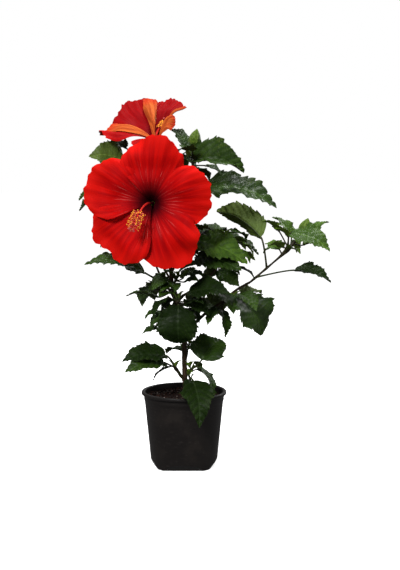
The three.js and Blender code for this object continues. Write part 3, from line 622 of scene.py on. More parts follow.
LIMBS = {
    # name: path, radius at the foot, radius at the tip
    "trunk": ([[2, 3, 93.3], [2, 3, 104], [1, 2, 124], [0.5, 1, 150], [0.8, 1, 178]], 3.7, 3.2),
    "bough_leader": (
        [[0.8, 1, 178.4], [-4, 0, 204], [-8.6, 0, 227], [-15, 0, 246], [-18, 2, 268],
         [-20, 4, 300], [-23, 6, 330], [-29, 10, 372], [-32, 12, 405]], 3.1, 1.5),
    "bough_right": (
        [[0.8, 1, 172], [9, 1, 187], [30, 0, 208.5], [51.3, 0, 223], [70, 0, 239], [89, 0, 250]], 2.2, 1.6),
    "bough_mid_right": ([[-8.6, 0, 227], [12, 3, 240], [34, 5, 257], [45, 3, 271]], 1.7, 1.4),
    "bough_upper_right": ([[-17, 1, 262], [-4, 12, 290], [6, 16, 340], [10, 12, 378]], 1.8, 1.4),
    "bough_left": ([[-12.5, 0, 240], [-24, 12, 262], [-44, 19, 294], [-66, 22, 322]], 1.7, 1.4),
    "bough_back_left": ([[-4, 0, 204], [-14, 22, 226], [-34, 46, 256], [-46, 58, 286]], 1.8, 1.4),
    "bough_back_right": ([[0.8, 1, 162], [10, 18, 190], [26, 42, 222], [38, 56, 254]], 1.9, 1.4),
    "bough_back_top": ([[-20, 4, 300], [-18, 22, 326], [-14, 44, 356], [-12, 54, 380]], 1.6, 1.3),
}
CAD_TRUNK_FOOT = [2, 3, 90]  # where the rule's trunk starts, under the soil's surface


def row(to, rise, stalk, face, dip, blade, **more):
    """A trained leaf. look and tone are its colours: its own green, with painted shade that darkens leaves
    lying low down and deep in the crown.
    """
    return LEAF | dict(to=to, rise=rise, stalk=stalk, face=face, dip=dip, blade=blade) | more


LOWEST_LEAF = 108
OWN_SPACE = 5  # least distance between the leaves of one mass
SPACE = 8  # and of two masses
FINE_SPACE = 4  # and from a small leaf to any other
FINE_TRIES = 9  # places tried for each small leaf
RULE = Sizes(
    seed=1, start=0, size=50, room=100, more=0, twigs=0, buds=[], lowest=LOWEST_LEAF, fine=None)
MASSES = {}


def spray(name, stem, trained=(), **given):
    """One mass: its stem, its trained leaves and what the rule adds, as in the part's source. fine
    is for the scene alone: how many small leaves the rule adds, their length, how far they may come
    past the mass's CAD box, and their look. What the rule adds stays above the height lowest."""
    MASSES["spray_" + name] = RULE | dict(stem=stem, trained=trained) | given


spray("base_left", [[1, 2, 117], [-5, -1, 122], [-12, -3, 134]], [
    row(205, 53, 42, 211, -1, 66, at=0.2, roll=-30, wide=0.6, tone=0.2, look="dark"),
    row(218, 27, 20, 218, 1, 65, roll=-25, wide=0.6, tone=-0.25),
    row(219, 34, 10, 201, 31, 33, at=0.9, wide=0.25, look="dark"),
], fine=(3, 26, 2, "bright"))
spray("base_right", [[1.5, 2, 120], [7, -3, 127], [10, -7, 132]], [
    row(320, 41, 25, 50, -30, 50, at=0.9, wide=1.05, fold=15, roll=22, folds=1.5, tone=-0.2),
    row(309, 22, 15, 318, 46, 44, wide=0.6, roll=-20),
], fine=(2, 22, 2, "mid"))
spray("rim", [[2, 3, 109], [7, -7, 117], [9, -15, 122]], [
    row(282, 0, 16, 279, 45, 72, wide=0.5, lobe=0.38, curl=50, look="dark", tone=0.1),
])
spray("center", [[-3, 0, 199], [-6, -12, 214], [-8, -20, 228]], [
    row(269, 17, 20, 246, 88, 53, at=0.6, roll=-14, wide=1.05, curl=93, broad=0.97, look="dark",
        tone=-0.2),
    row(327, 40, 23, 336, -3, 59, at=0.9, roll=35, wide=0.7, look="dark", tone=-0.4),
    row(307, 53, 22, 330, 21, 39, at=0.3, roll=30, look="dark"),
], fine=(6, 32, 8, "dark"))
spray("left", [[-12, 0, 237], [-22, -4, 243], [-32, -8, 252]], [
    row(216, 28, 27, 197, -12, 83, roll=-30, wide=0.42, lobe=0.3),
    row(199, -21, 22, 193, -7, 45, at=0.15, wide=0.35),
    row(224, 27, 13, 216, 21, 22, at=0.5),
    row(272, 38, 16, 230, 17, 25, at=0.2, roll=-20),
], fine=(5, 29, 4, "mid"))
spray("left_low", [[-3.5, 0, 201], [-14, 2, 207], [-24, 2, 212]], [
    row(203, -28, 6, 207, 39, 29, at=0.9, roll=-20, wide=0.6),
    row(169, -47, 29, 190, 15, 23, at=0.6, roll=-25, wide=0.6),
    row(180, 63, 22, 229, 63, 17, at=0.5, wide=0.55),
], fine=(6, 26, 8, "mid"))
spray("right_low", [[51.3, 0, 223], [60, -5, 224], [70, -9, 226]], [
    row(272, 49, 8, 346, 53, 64, roll=25, wide=1.15, curl=69, fold=8, lobe=0.08, broad=0.84, tone=-0.4),
    row(222, 48, 15, 300, 39, 36, at=0.5, wide=0.75),
    row(239, -55, 12, 297, 70, 39, at=0.2, wide=0.5, roll=-20),
    row(122, -48, 16, 133, 34, 26, at=0.1, look="bright"),
    row(48, 26, 22, 43, 1, 41, at=0.7, wide=0.6, roll=15, look="olive"),
], fine=(6, 34, 5, "mid"))
spray("mid_right", [[45, 3, 271], [52, 0, 290], [58, -4, 312]], [
    row(60, 20, 14, 50, 15, 34, roll=15),
    row(96, -44, 18, 139, 12, 30, at=0.1, roll=-59, wide=0.7, look="olive"),
    row(96, -53, 11, 352, 33, 37, at=0.05, roll=43, wide=0.8, curl=30, fold=2, look="fresh"),
    row(2, -28, 25, 342, 28, 30, at=0.3, wide=0.4, look="dark"),
], fine=(9, 30, 8, "fresh"))
spray("mid", [[-20, 4, 297], [-4, 6, 304], [10, 3, 308]], [
    row(343, -3, 12, 338, 19, 78, at=0.9, roll=35, wide=0.68, look="fresh", tone=-0.1),
    row(330, -40, 30, 333, 11, 67, at=0.6, roll=38, wide=0.7),
    row(40, 10, 17, 42, -10, 50, roll=15),
], fine=(8, 32, 5, "mid"))
spray("right", [[89, 0, 250], [110, 0, 268], [132, -5, 288], [150, -8, 307]], [
    row(353, 11, 53, 344, 14, 52, at=0.12, wide=0.6, roll=22, fold=22, curl=25, look="dark"),
    row(173, 79, 42, 166, -29, 73, at=0.35, roll=79, wide=0.68, curl=81, fold=48, broad=0.9,
        look="olive"),
    row(210, 57, 28, 209, -31, 31, at=0.8, wide=0.85, look="bright"),
    row(82, 52, 18, 148, -44, 38, at=0.85, wide=0.85, look="fresh"),
    row(296, 67, 24, 211, -30, 26, at=0.7, wide=0.8, look="bright"),
    row(278, 57, 25, 334, 20, 59, at=0.8, roll=32, look="fresh", tone=0.1),
    row(30, 17, 25, 35, -30, 36, at=1, look="fresh"),
], buds=[
    Sizes(at=1, to=345, rise=35, stalk=11, point=75, long=24, thick=17),
], lowest=288, fine=(6, 27, 6, "bright"))
spray("upper_right", [[10, 12, 378], [12, 9, 405], [10, 6, 426]], [
    row(284, -48, 15, 357, 9, 72, at=0.9, roll=49, fold=43, wide=0.72, curl=80, lobe=0.2, tone=0.1),
    row(136, 19, 12, 136, -45, 41),
    row(339, -49, 24, 344, 12, 105, at=0.3, roll=32, wide=0.52, tone=-0.3),
    row(55, -43, 11, 40, 33, 30, at=0.6),
], buds=[
    Sizes(at=1, to=315, rise=60, stalk=6, point=70, long=24, thick=15),
    Sizes(at=0.7, to=250, rise=20, stalk=12, point=55, long=13, thick=8),
], fine=(2, 26, 2, "mid"))
spray("upper_left", [[-66, 22, 322], [-92, 26, 366], [-102, 26, 405]], [
    row(100, 30, 16, 95, 20, 34),
    row(186, -48, 18, 210, 18, 42, at=0.6),
], more=5, size=46, start=60, seed=11, fine=(4, 30, 4, "mid"))
spray("back_low", [[1, 1.5, 138], [4, 16, 150], [6, 28, 160]], [
    row(153, 52, 13, 127, 12, 36, at=0.3),
    row(120, 74, 8, 71, 14, 34, at=0.5, look="bright"),
], more=3, size=50, start=40, seed=21, fine=(3, 24, 3, "mid"))
spray("heart", [[-15, 0, 246], [-13, -8, 250], [-10, -14, 254]], [
    row(284, 42, 8, 228, -35, 26, at=0.5, roll=-20),
    row(329, 22, 13, 316, -36, 28, at=0.8, roll=20),
    row(355, -7, 12, 319, -10, 26, at=0.9, roll=25),
], fine=(14, 31, 15, "mid"))
spray("back_mid", [[18, 30, 206], [20, 42, 208], [22, 54, 214]],
      more=4, size=46, start=150, seed=31, fine=(6, 28, 6, "mid"))
spray("back_side", [[-22, 32, 238], [-34, 44, 234], [-42, 56, 236]],
      more=4, size=46, start=100, seed=35, fine=(6, 28, 6, "mid"))
spray("back_left", [[-46, 58, 286], [-60, 66, 312], [-70, 70, 342]],
      more=5, size=60, twigs=2, start=20, seed=41, fine=(9, 32, 6, "mid"))
spray("back_right", [[38, 56, 254], [36, 68, 282], [28, 74, 310]],
      more=5, size=54, twigs=1, start=75, seed=51, fine=(9, 30, 6, "mid"))
spray("back_top", [[-12, 54, 380], [-14, 64, 402], [-20, 70, 422]],
      more=5, size=50, twigs=1, start=30, seed=61, fine=(8, 30, 6, "mid"))
spray("top", [[-31, 12, 394], [-46, 14, 406], [-60, 16, 414]], [
    row(203, 1, 24, 206, -6, 50, at=0.9, roll=-62, wide=0.85, look="olive", tone=-0.2),
    row(151, 36, 26, 149, -9, 40, roll=-15),
], more=4, size=42, start=60, seed=71, fine=(6, 28, 4, "bright"))

BLOOMS = {
    "bloom_front": Sizes(
        stalk=[[-26.5, 8, 350], [-31, -1, 349], [-36, -9, 353]],
        foot=[-37, -10, 354],
        seat=[-40, -30, 356.5],
        out=(262, 4),
        column=[(258, 0, 30), (250, -22, 22), (236, -50, 26)],
        head=0.78,
        petals=[
            dict(at=84, tuck=0.24, sharp=1.9),
            dict(at=10, reach=84, spread=36, sharp=3.2, tuck=0.22),
            dict(at=300, reach=95, spread=39, tuck=0.28, sharp=1.8),
            dict(at=230, reach=90, notch=0.08, sharp=3),
            dict(at=160, reach=87, sharp=3, tuck=0.26),
        ]),
    "bloom_top": Sizes(
        stalk=[[-32, 12, 405], [-33, 12, 411], [-34, 12, 416]],
        foot=[-34, 12, 417],
        seat=[-36, 12, 436],
        out=(265, 68),
        column=[(265, 68, 10), (48, 60, 10), (38, 48, 12)],
        head=0.36,
        petals=[
            dict(at=121, reach=89, deep=20, spread=28, reflex=-2, slant=13, tuck=0.1, sharp=1.2, bow=14,
                 turned=-0.6, roll=13, shade=0.85),
            dict(at=69, reach=61, deep=38, spread=22, reflex=-2, tuck=0.1, bow=2,
                 turned=-0.2, roll=2, shade=0.85),
            dict(at=9, reach=27, deep=29, spread=28, reflex=3, slant=-7, bow=3, twisted=True, shade=0.2),
            dict(at=262, reach=52, deep=16, spread=40, reflex=4, shade=0.6),
            dict(at=177, reach=78, deep=15, spread=29, reflex=-2, slant=1, tuck=0.1, bow=2,
                 turned=-0.7, roll=4, shade=0.5),
        ]),
}


def path_samples(points, length):
    n = ceil(length / 5)
    return curve(points, np.arange(n + 1) / n)


def chord(points):
    return float(np.linalg.norm(np.subtract(points[-1], points[0])))


def settle(shoot, leaf, points, name, taken, own, others):
    """Adds a leaf to its shoot if it keeps its distance to its own mass's leaves and to others."""
    for q, owner in taken:
        gaps = np.linalg.norm(points[:, None] - q[None], axis=-1)
        if gaps.min() < (own if owner == name else others):
            return False
    shoot.leaves.append(leaf)
    taken.append((points, name))
    return True


def grow_all():
    """The shoots of each mass, each with its leaves. What is trained comes first, so that what the
    rule adds keeps clear of it."""
    taken = []
    for name, (path, _, _) in LIMBS.items():
        path = [CAD_TRUNK_FOOT] + path[1:] if name == "trunk" else path
        taken.append((path_samples(path, chord(path)), ""))
    for bloom in BLOOMS.values():
        spot = bloom_frame(bloom)
        t = np.arange(1, 8)[:, None] / 7
        a = np.array([-1, -0.6, -0.2, 0.2, 0.6, 1])[None]
        for petal in bloom.petals:
            taken.append((petal_places(spot, PETAL | petal, t, a).reshape(-1, 3), ""))
        taken.append((np.array([*bloom.stalk, bloom.foot, bloom.seat], float), ""))
    grown = {}
    for name, mass in MASSES.items():
        stem = Sizes(path=mass.stem, radii=(1.5, 1.1), buds=mass.buds, leaves=list(mass.trained))
        for leaf in mass.trained:
            taken.append((leaf_samples(stem, leaf), name))
        taken.append((path_samples(mass.stem, chord(mass.stem[:3])), name))
        grown[name] = (mass, [stem])
    for name, (mass, shoots) in grown.items():
        grow_mass(name, mass, shoots, taken)
        shoots[1:] = [shoot for shoot in shoots[1:] if shoot.leaves]
    for name, (mass, shoots) in grown.items():
        if mass.fine:
            grow_finer(name, mass, shoots, taken)
    return {name: shoots for name, (_, shoots) in grown.items()}


def grow_finer(name, mass, shoots, taken):
    """The same rule carried on to small leaves, which keep to the mass's reach."""
    wanted, size, past, look = mass.fine
    low, high = (np.array(corner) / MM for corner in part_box(name))
    roll = dice(mass.seed * 7 + len(name))
    for i in range(wanted * FINE_TRIES):
        shoot = shoots[i % len(shoots)]
        to = GOLDEN * i + 20 * roll()
        leaf = LEAF | dict(
            at=0.55 + 0.45 * roll(),
            to=to,
            rise=20 + 40 * roll(),
            stalk=(0.6 + 0.35 * roll()) * size,
            face=to + 30 * roll(),
            dip=20 + 35 * roll(),
            roll=25 * roll(),
            blade=size * (1 + 0.25 * roll()),
            look=look,
        )
        points = leaf_samples(shoot, leaf)
        if (points < low - past).any() or (points > high + past).any():
            continue
        if points[:, 2].min() < mass.lowest:
            continue
        wanted -= settle(shoot, leaf, points[:-1], name, taken, FINE_SPACE, FINE_SPACE)
        if wanted == 0:
            break


def grow_mass(name, mass, shoots, taken):
    """Adds a mass's side twigs, and leaves round each of its shoots, as the part's source does."""
    roll = dice(mass.seed)
    stem = mass.stem
    middle = curve(stem, 0.5)[0]
    for i in range(mass.twigs):
        foot = curve(stem, 0.35 + 0.5 * i / mass.twigs)[0]
        way = heading(mass.start + 90 + GOLDEN * i + 10 * roll(), 25 + 8 * roll())
        length = 0.8 * mass.size * (1 + 0.1 * roll())
        tip = foot + way * length
        knee = (foot + tip) / 2
        tip = tip + UP * 0.15 * length
        shoots.append(Sizes(path=[foot, knee, tip], radii=(1.2, 0.9), leaves=[], buds=[]))
    for k, shoot in enumerate(shoots):
        for i in range(mass.more):
            to = mass.start + GOLDEN * (i + 2 * k) + 12 * roll()
            leaf = LEAF | dict(
                to=to,
                rise=28 + 12 * roll(),
                stalk=(0.34 + 0.08 * roll()) * mass.size,
                face=to + 14 * roll(),
                dip=26 + 14 * roll(),
                roll=12 * roll(),
                blade=mass.size * (1 + 0.14 * roll()),
                at=min(1, 0.3 + 0.7 * (i + 1) / mass.more),
            )
            points = leaf_samples(shoot, leaf)
            far = np.linalg.norm(points - middle, axis=-1).max()
            if far < mass.room and points[:, 2].min() > mass.lowest:
                settle(shoot, leaf, points, name, taken, OWN_SPACE, SPACE)


# ---- leaves

GROWN = 24  # blade length from which a leaf has all its teeth
BLADE_COLUMNS = 17  # points across it
BLADE_THICK = 0.5
YOUNG_COLUMNS = 9
YOUNG_TEETH = 6
QUILT_HEIGHT = 2.2  # of the swellings between the veins on a blade of 60 mm
GROOVE_DEPTH = 0.8  # of its midrib


def blade_rows(teeth):
    """Places along a blade, five to each tooth, which catch its point and the drop behind it."""
    shares = np.array([0.06, 0.3, 0.54, 0.8, 0.97])
    t = (np.arange(teeth)[:, None] + shares).ravel() / teeth
    return np.concatenate([[0.0], t[t < 0.985], [1.0]])[:, None]


def margin(leaf, teeth, t, a):
    """How wide the blade is and how far forward it reaches, as its teeth and its drawn out point
    shape it: each tooth stands out slowly, points forward and drops behind its point."""
    place = t * teeth
    share, which = place % 1, np.floor(place)
    depth = 0.14 * (0.75 + 0.35 * np.sin(2.4 * which + leaf.blade + 1.9 * np.sign(a)))
    starts = smooth(0.08, 0.26, t) * (1 - smooth(0.95, 1, t))
    tooth = depth * (share**1.2 - 0.45) + 0.045 * (2 * share % 1 - 0.5)
    outer = np.abs(a) ** 3
    point = 1 - 0.22 * smooth(0.72, 0.93, t)
    return point * (1 + tooth * starts * outer), 0.1 / teeth * share**2 * outer * starts


def quilting(leaf, x, y):
    """Height of the blade's relief, in mm: sunk veins and the swellings between them."""
    out = np.abs(y)
    along = x - VEIN_LEAN * out - VEIN_BOW * out * out
    swell = np.abs(np.sin(pi * VEIN_PAIRS * along)) ** 0.7 - 0.6
    fade = smooth(0, 0.03, out) * (1 - 0.5 * smooth(0.25, 0.5, out))
    groove = np.exp(-((out / 0.018) ** 2))
    relief = QUILT_HEIGHT * leaf.folds * swell * fade - GROOVE_DEPTH * groove
    return leaf.blade / 60 * relief


def grown_blade(spot, leaf, t, a, lift, trim=1.0, ahead=0.0):
    """blade_places with the waves, droop and sway of a blade that has grown unevenly."""
    reach = half_width(leaf, t)
    odd = leaf.blade * 1.7 + leaf.to
    frill = 0.10 * reach * a * a * np.sin(16 * t + 1.7 * np.sign(a) + odd)
    frill = frill + 0.045 * reach * np.abs(a) ** 3 * np.sin(34 * t + a + odd)
    droop = 0.07 * leaf.blade * smooth(0.6, 1, t)
    p = blade_places(spot, leaf, np.clip(t + ahead, 0, 1), a, lift + frill - droop, trim)
    sway = 0.05 * leaf.blade * sin(odd) * np.sin(2.6 * t) + 0 * a
    return p + sway[..., None] * spot[4]


def island(index, count, half, t, a):
    """Corners on the bake's map: each leaf has a cell, its two faces side by side in it."""
    columns = ceil(sqrt(count / 2))
    rows = ceil(count / columns)
    u = (index % columns + 0.25 + 0.5 * half + 0.21 * a) / columns
    v = (index // columns + 0.04 + 0.92 * t) / rows
    return gather(u, v)


def add_blade(batch, shoot, leaf, index, count):
    """A blade as a thin closed solid: its upper face, its back, and the margin that they share."""
    spot = leaf_frame(shoot, leaf)
    grown = leaf.blade > GROWN
    teeth = TEETH if grown else YOUNG_TEETH
    columns = BLADE_COLUMNS if grown else YOUNG_COLUMNS
    t = blade_rows(teeth)
    a = np.sin(np.linspace(-1, 1, columns) * pi / 2 * 0.85)[None] / sin(0.85 * pi / 2)
    trim, ahead = margin(leaf, teeth, t, a)
    reach = half_width(leaf, t)
    x = t + ahead
    y = a * np.maximum(reach, 0.5) * trim / leaf.blade
    relief = quilting(leaf, x, y)
    thick = 0.5 * BLADE_THICK * (1 - np.abs(a) ** 4)
    place = gather(x, y)
    slot = LEAF_SLOT[leaf.look]
    # The tint mixes a random tone, the leaf's own tone and a rise from foot to tip: painted shade makes
    # each blade darker towards its foot, where the crown shades it, and lighter towards its tip.
    tone = 0.45 + 0.3 * sin(12.9 * index + leaf.blade) + leaf.tone
    tint = np.clip(tone + 0.9 * (t - 0.45) + 0 * a, 0, 1).ravel()
    for side, sign in enumerate((1, -1)):
        points = grown_blade(spot, leaf, t, a, relief + sign * thick, trim, ahead)
        baked = island(index, count, side, t, a)
        faces = grid(len(t), columns, flip=sign > 0)
        batch.add(points, [faces], slot + side, tint, Leaf=place, OFBake=baked)


def stalk_path(shoot, leaf, steps):
    """A stalk's middle line, from the shoot to the blade's foot, as the source's rule bends it."""
    foot, base, forward, upper, _ = leaf_frame(shoot, leaf)
    half = radians(leaf.curl) / 2
    start = forward * cos(half) + upper * sin(half)
    knee = base - start * 0.2 * leaf.stalk
    t = ramp(steps + 1)[:, None]
    return (1 - t) ** 2 * foot + 2 * t * (1 - t) * knee + t * t * base


def add_stalk(batch, shoot, leaf, brown):
    """The stalk, swollen at both ends, and the midrib that it runs into under the blade."""
    line = stalk_path(shoot, leaf, 10)
    t = ramp(11)
    thick = 0.72 + 0.007 * leaf.blade
    radii = thick * (1 + 0.3 * np.exp(-t * 9) + 0.2 * np.exp(-(1 - t) * 9))
    tube(batch, line, radii, slot=1, tint=brown)
    spot = leaf_frame(shoot, leaf)
    along = np.linspace(0, 0.96, 20)
    rib = grown_blade(spot, leaf, along, 0 * along, quilting(leaf, along, 0 * along) - 0.35)
    tube(batch, rib, 0.8 * thick * (1 - 0.85 * along), 6, 1, 0.1)


def add_stipules(batch, foot, way, size):
    """A pair of slender scales where a stalk leaves the shoot."""
    side = unit(np.cross(way, UP) + 1e-6)
    for sign in (-1, 1):
        t = ramp(5)[:, None]
        line = foot + (side * sign * 1.2 + way * 0.6 * t + (side * sign * 0.5 + UP * 0.6) * t) * size * t
        tube(batch, line + way * 0.8, 0.35 * (1.05 - t[:, 0]), 5, 1, 0.35)


YOUNG = 3  # unfolding leaves at the tip of each shoot
SEPALS = 5
BRACTS = 7  # slim leaves under the sepals


def young_leaves(seed):
    """The small upright leaves that still unfold at a shoot's tip."""
    roll = dice(seed * 13 + 7)
    return [
        LEAF | dict(
            at=1 - 0.05 * k,
            to=GOLDEN * k + 50 * roll(),
            rise=52 + 10 * roll(),
            stalk=2.5 + 2.5 * k,
            face=GOLDEN * k + 50 * roll(),
            dip=-40 + 15 * roll(),
            blade=8 + 3.5 * k + 2 * roll(),
            fold=35,
            wide=0.5,
            look="bright",
        )
        for k in range(YOUNG)
    ]


def add_tip(batch, shoot):
    """The growing point of a shoot, a slender bud."""
    end = curve(shoot.path, 1.0)[0]
    way = unit(end - curve(shoot.path, 0.93)[0])
    t = ramp(7)
    tube(batch, end + way * 5.5 * t[:, None], 1.25 * np.sin(pi * (0.35 + 0.63 * t)), 8, 1, 0.1)


def shoot_relief(seed):
    """The slight ribs and swellings of a green shoot."""
    def relief(turn, i):
        return 1 + 0.05 * np.sin(3 * turn + seed) + 0.05 * np.sin(0.9 * i + 2 * turn + seed)

    return relief


def build_mass(name, shoots):
    """A mass's leaves as one piece, and its shoots, stalks and buds as another."""
    leaves, twigs = Batch(), Batch()
    for k, shoot in enumerate(shoots):
        if not shoot.buds:
            shoot.leaves.extend(young_leaves(k + len(name)))
    count = sum(len(shoot.leaves) for shoot in shoots)
    index = 0
    for k, shoot in enumerate(shoots):
        t = ramp(8 * len(shoot.path) + 1)
        line = curve(shoot.path, t)
        r0, r1 = shoot.radii
        radii = r0 + (r1 - r0) * t
        for leaf in shoot.leaves:
            radii = radii + 0.35 * np.exp(-(((t - leaf.at) * 12) ** 2))
        tube(twigs, line, radii, 10, 1, 0.85 if k == 0 else 0.45, shoot_relief(k + len(name)))
        add_tip(twigs, shoot)
        for leaf in shoot.leaves:
            add_blade(leaves, shoot, leaf, index, count)
            add_stalk(twigs, shoot, leaf, 0.25 + 0.3 * (index % 3))
            foot = curve(shoot.path, leaf.at)[0]
            add_stipules(twigs, foot, heading(leaf.to, leaf.rise), 3.0)
            index += 1
        for bud in shoot.buds:
            add_bud(twigs, shoot, bud)
    leaves.make(name + "_leaves", LEAF_MATERIALS, "foliage", [name])
    twigs.make(name + "_twigs", [BARK, SHOOT, SEPAL, BUD_PALE], "foliage", [name])


def add_bud(batch, shoot, bud):
    """A flower bud on its stalk: five ribbed sepals that meet in a point, and slim bracts below."""
    foot = curve(shoot.path, bud.at)[0]
    base = foot + heading(bud.to, bud.rise) * bud.stalk
    point = heading(bud.to, bud.point)
    tip = base + point * bud.long
    t = ramp(9)
    tube(batch, curve([foot, (foot + base) / 2, base, base + 0.1 * (tip - base)], t), 1.1, 8, 1, 0.2)
    half = bud.thick / 2
    s = ramp(19)
    swell = np.interp(s, [0, 0.12, 0.3, 0.5, 0.7, 0.86, 1], [0.35, 0.8, 1, 0.97, 0.72, 0.38, 0.04])
    line = base + (tip - base) * s[:, None]

    def ribs(turn, i):
        return 1 + 0.09 * np.abs(np.cos(2.5 * turn)) - 0.05 + 0.02 * np.cos(10 * turn)

    tube(batch, line, half * swell, 40, 2, 0, ribs)
    side = unit(np.cross(point, UP))
    front = np.cross(side, point)
    for k in range(SEPALS):
        way = spoke(side, front, 72 * k)
        seam = line[1:-1] + way * (half * swell[1:-1] * 1.03)[:, None]
        tube(batch, seam, 0.35 * np.sin(pi * np.linspace(0.1, 0.95, len(seam))) + 0.08, 6, 3)
    for k in range(BRACTS):
        way = spoke(side, front, 360 / BRACTS * k + 20)
        r = ramp(7)[:, None]
        bract = base + way * (0.35 * half + 0.95 * half * r) + point * bud.long * 0.30 * r**1.6
        tube(batch, bract, 0.75 * (1.02 - r[:, 0] ** 2), 6, 2)


# ---- limbs

LIMB_SIDES = 28
SCAR_EVERY = 13  # mm between the scars of old leaves


def build_limb(name, path, r0, r1):
    """A limb with its bark's relief, the scars of old leaves, and the trunk's flare."""
    batch = Batch()
    length = float(np.linalg.norm(np.diff(np.array(path, float), axis=0), axis=1).sum())
    t = ramp(max(16, int(length / 1.1)) + 1)
    line = curve(path, t)
    radii = r0 + (r1 - r0) * t
    if name == "trunk":
        radii = radii + 1.9 * np.exp(-t * length / 6)
    roll = dice(len(name) * 31 + 5)
    scars = [
        (place / length, radians(GOLDEN * k) + roll())
        for k, place in enumerate(np.arange(9, length, SCAR_EVERY))
    ]

    def relief(turn, i):
        where = line[i[:, 0]][:, None] + 0 * turn[..., None]
        drawn = gather(4 * np.cos(turn), 4 * np.sin(turn), 0.16 * t[i] * length)
        grain = 0.045 * noise(drawn, 0.9, 3) + 0.03 * noise(drawn, 0.4, 4)
        grain = grain + 0.03 * noise(where, 7.0, 5)
        for place, turned in scars:
            along = (t[i] - place) * length
            off = np.abs((turn - turned + pi) % (2 * pi) - pi)
            grain = grain + 0.22 * np.exp(-((along / 1.5) ** 2) - (off / 0.75) ** 2)
            grain = grain + 0.05 * np.exp(-((along / 0.9) ** 2))
        return 1 + grain

    tube(batch, line, radii, LIMB_SIDES, 0, 0, relief)
    batch.make(name + "_bark", WOOD_MATERIALS, "bark", [name])


# ---- blooms

PETAL_ROWS = 58
PETAL_COLUMNS = 46
PETAL_HALF = 0.35  # half a petal's thickness
ROLL_COLUMNS = 21  # across a margin that is rolled over
COLUMN_ROWS = 60
COLUMN_SIDES = 16
ANTHERS = 110
STIGMAS = 5
SEPAL_ROWS = 9
SEPAL_COLUMNS = 7


def petal_sheet(spot, petal, t, a):
    """Middle face of a petal with its fan of veins and its crimped rim, and the face's normals."""
    e = 0.004
    base = petal_places(spot, petal, t, a)
    along = petal_places(spot, petal, t + e, a) - petal_places(spot, petal, np.maximum(t - e, 0), a)
    over = petal_places(spot, petal, t, a + e) - petal_places(spot, petal, t, a - e)
    normal = unit(np.cross(along, over))
    odd = petal.at * 0.37
    fan = a * (6 + 5 * t) + 0.4 * np.sin(5 * a + odd)
    ridge = np.abs(np.sin(pi * fan)) ** 1.5 * smooth(0.1, 0.3, t) * (1 - 0.6 * t)
    crimp = 1.1 * np.sin(11 * a + odd + 2 * t) * np.sin(3.1 * a + odd)
    crimp = smooth(0.5, 1, t) * (crimp + 0.5 * np.sin(27 * a + 2 * odd + 4 * t))
    broad = (1.4 * np.sin(3 * t + 5 * a + odd) + 1.0 * np.sin(7 * t - 3 * a + odd)) * smooth(0.2, 0.7, t)
    uneven = noise(base, 21.0, petal.at)
    broad = broad + 5.0 * (uneven - 0.5) * smooth(0.15, 0.6, t)
    crease = 0.5 * ridge * smooth(0.4, 0.75, noise(base, 16.0, petal.at + 1))
    return base + normal * (crease + crimp + broad)[..., None], normal


def add_petal(batch, spot, petal, index, count):
    t = ramp(PETAL_ROWS + 1)[:, None]
    a = np.linspace(-1, 1, PETAL_COLUMNS + 1)[None]
    odd = petal.at * 0.37
    scallop = 0.022 * np.sin(7 * a + odd) * np.sin(2.3 * a + odd) + 0.009 * np.sin(23 * a + odd)
    scallop = scallop + 0.006 * np.sin(41 * a + 2 * odd) - 0.02
    reach = t * (1 + scallop * t**6)
    middle, normal = petal_sheet(spot, petal, reach, a)
    round_off = np.minimum(1, 8 * (1 - np.abs(a))) * np.minimum(1, 8 * (1 - t))
    thick = PETAL_HALF * np.sqrt(round_off)
    place = gather(t, a * petal.spread / 40 + 3.1 * index)
    for side, sign in enumerate((1, -1)):
        baked = island(index, count, side, t, a)
        faces = grid(PETAL_ROWS + 1, PETAL_COLUMNS + 1, flip=sign > 0)
        slot = 1 - side if petal.twisted else side
        points = middle + sign * normal * thick[..., None]
        batch.add(points, [faces], slot, petal.shade, Petal=place, OFBake=baked)
    if "turned" in petal:
        add_turned_margin(batch, spot, petal)


def add_turned_margin(batch, spot, petal):
    """The margin of a petal rolled over onto its face, which shows its back. turned is how far
    across the petal the roll comes at its rim: above 0 from the edge at a = 1, below 0 from
    a = -1. roll is its height in mm."""
    edge = 1 if petal.turned > 0 else -1
    t = np.linspace(0.1, 0.95, PETAL_ROWS + 1)[:, None]
    s = ramp(ROLL_COLUMNS)[None]
    width = abs(petal.turned) * (1 + 1.1 * (1 - t) ** 1.4)
    a = edge * (1 - s * width * (1 + 0.06 * np.sin(11 * t)))
    middle, normal = petal_sheet(spot, petal, t + 0 * a, a)
    arch = np.sin(pi * (0.03 + 0.9 * s)) ** 0.8
    lift = 0.6 + petal.roll * arch * smooth(0, 0.35, t) * (1 - 0.8 * smooth(0.6, 0.95, t))
    face = middle + normal * (lift + 0.5 * np.sin(23 * s + 3 * t) * arch)[..., None]
    place = gather(t, 20 + 0.7 * a)
    baked = gather(0.02 + 0.02 * t, 0.02 * s)
    for sign in (1, -1):
        faces = grid(PETAL_ROWS + 1, ROLL_COLUMNS, flip=(sign > 0) == (edge > 0))
        batch.add(face + normal * 0.2 * sign, [faces], 1, Petal=place, OFBake=baked)


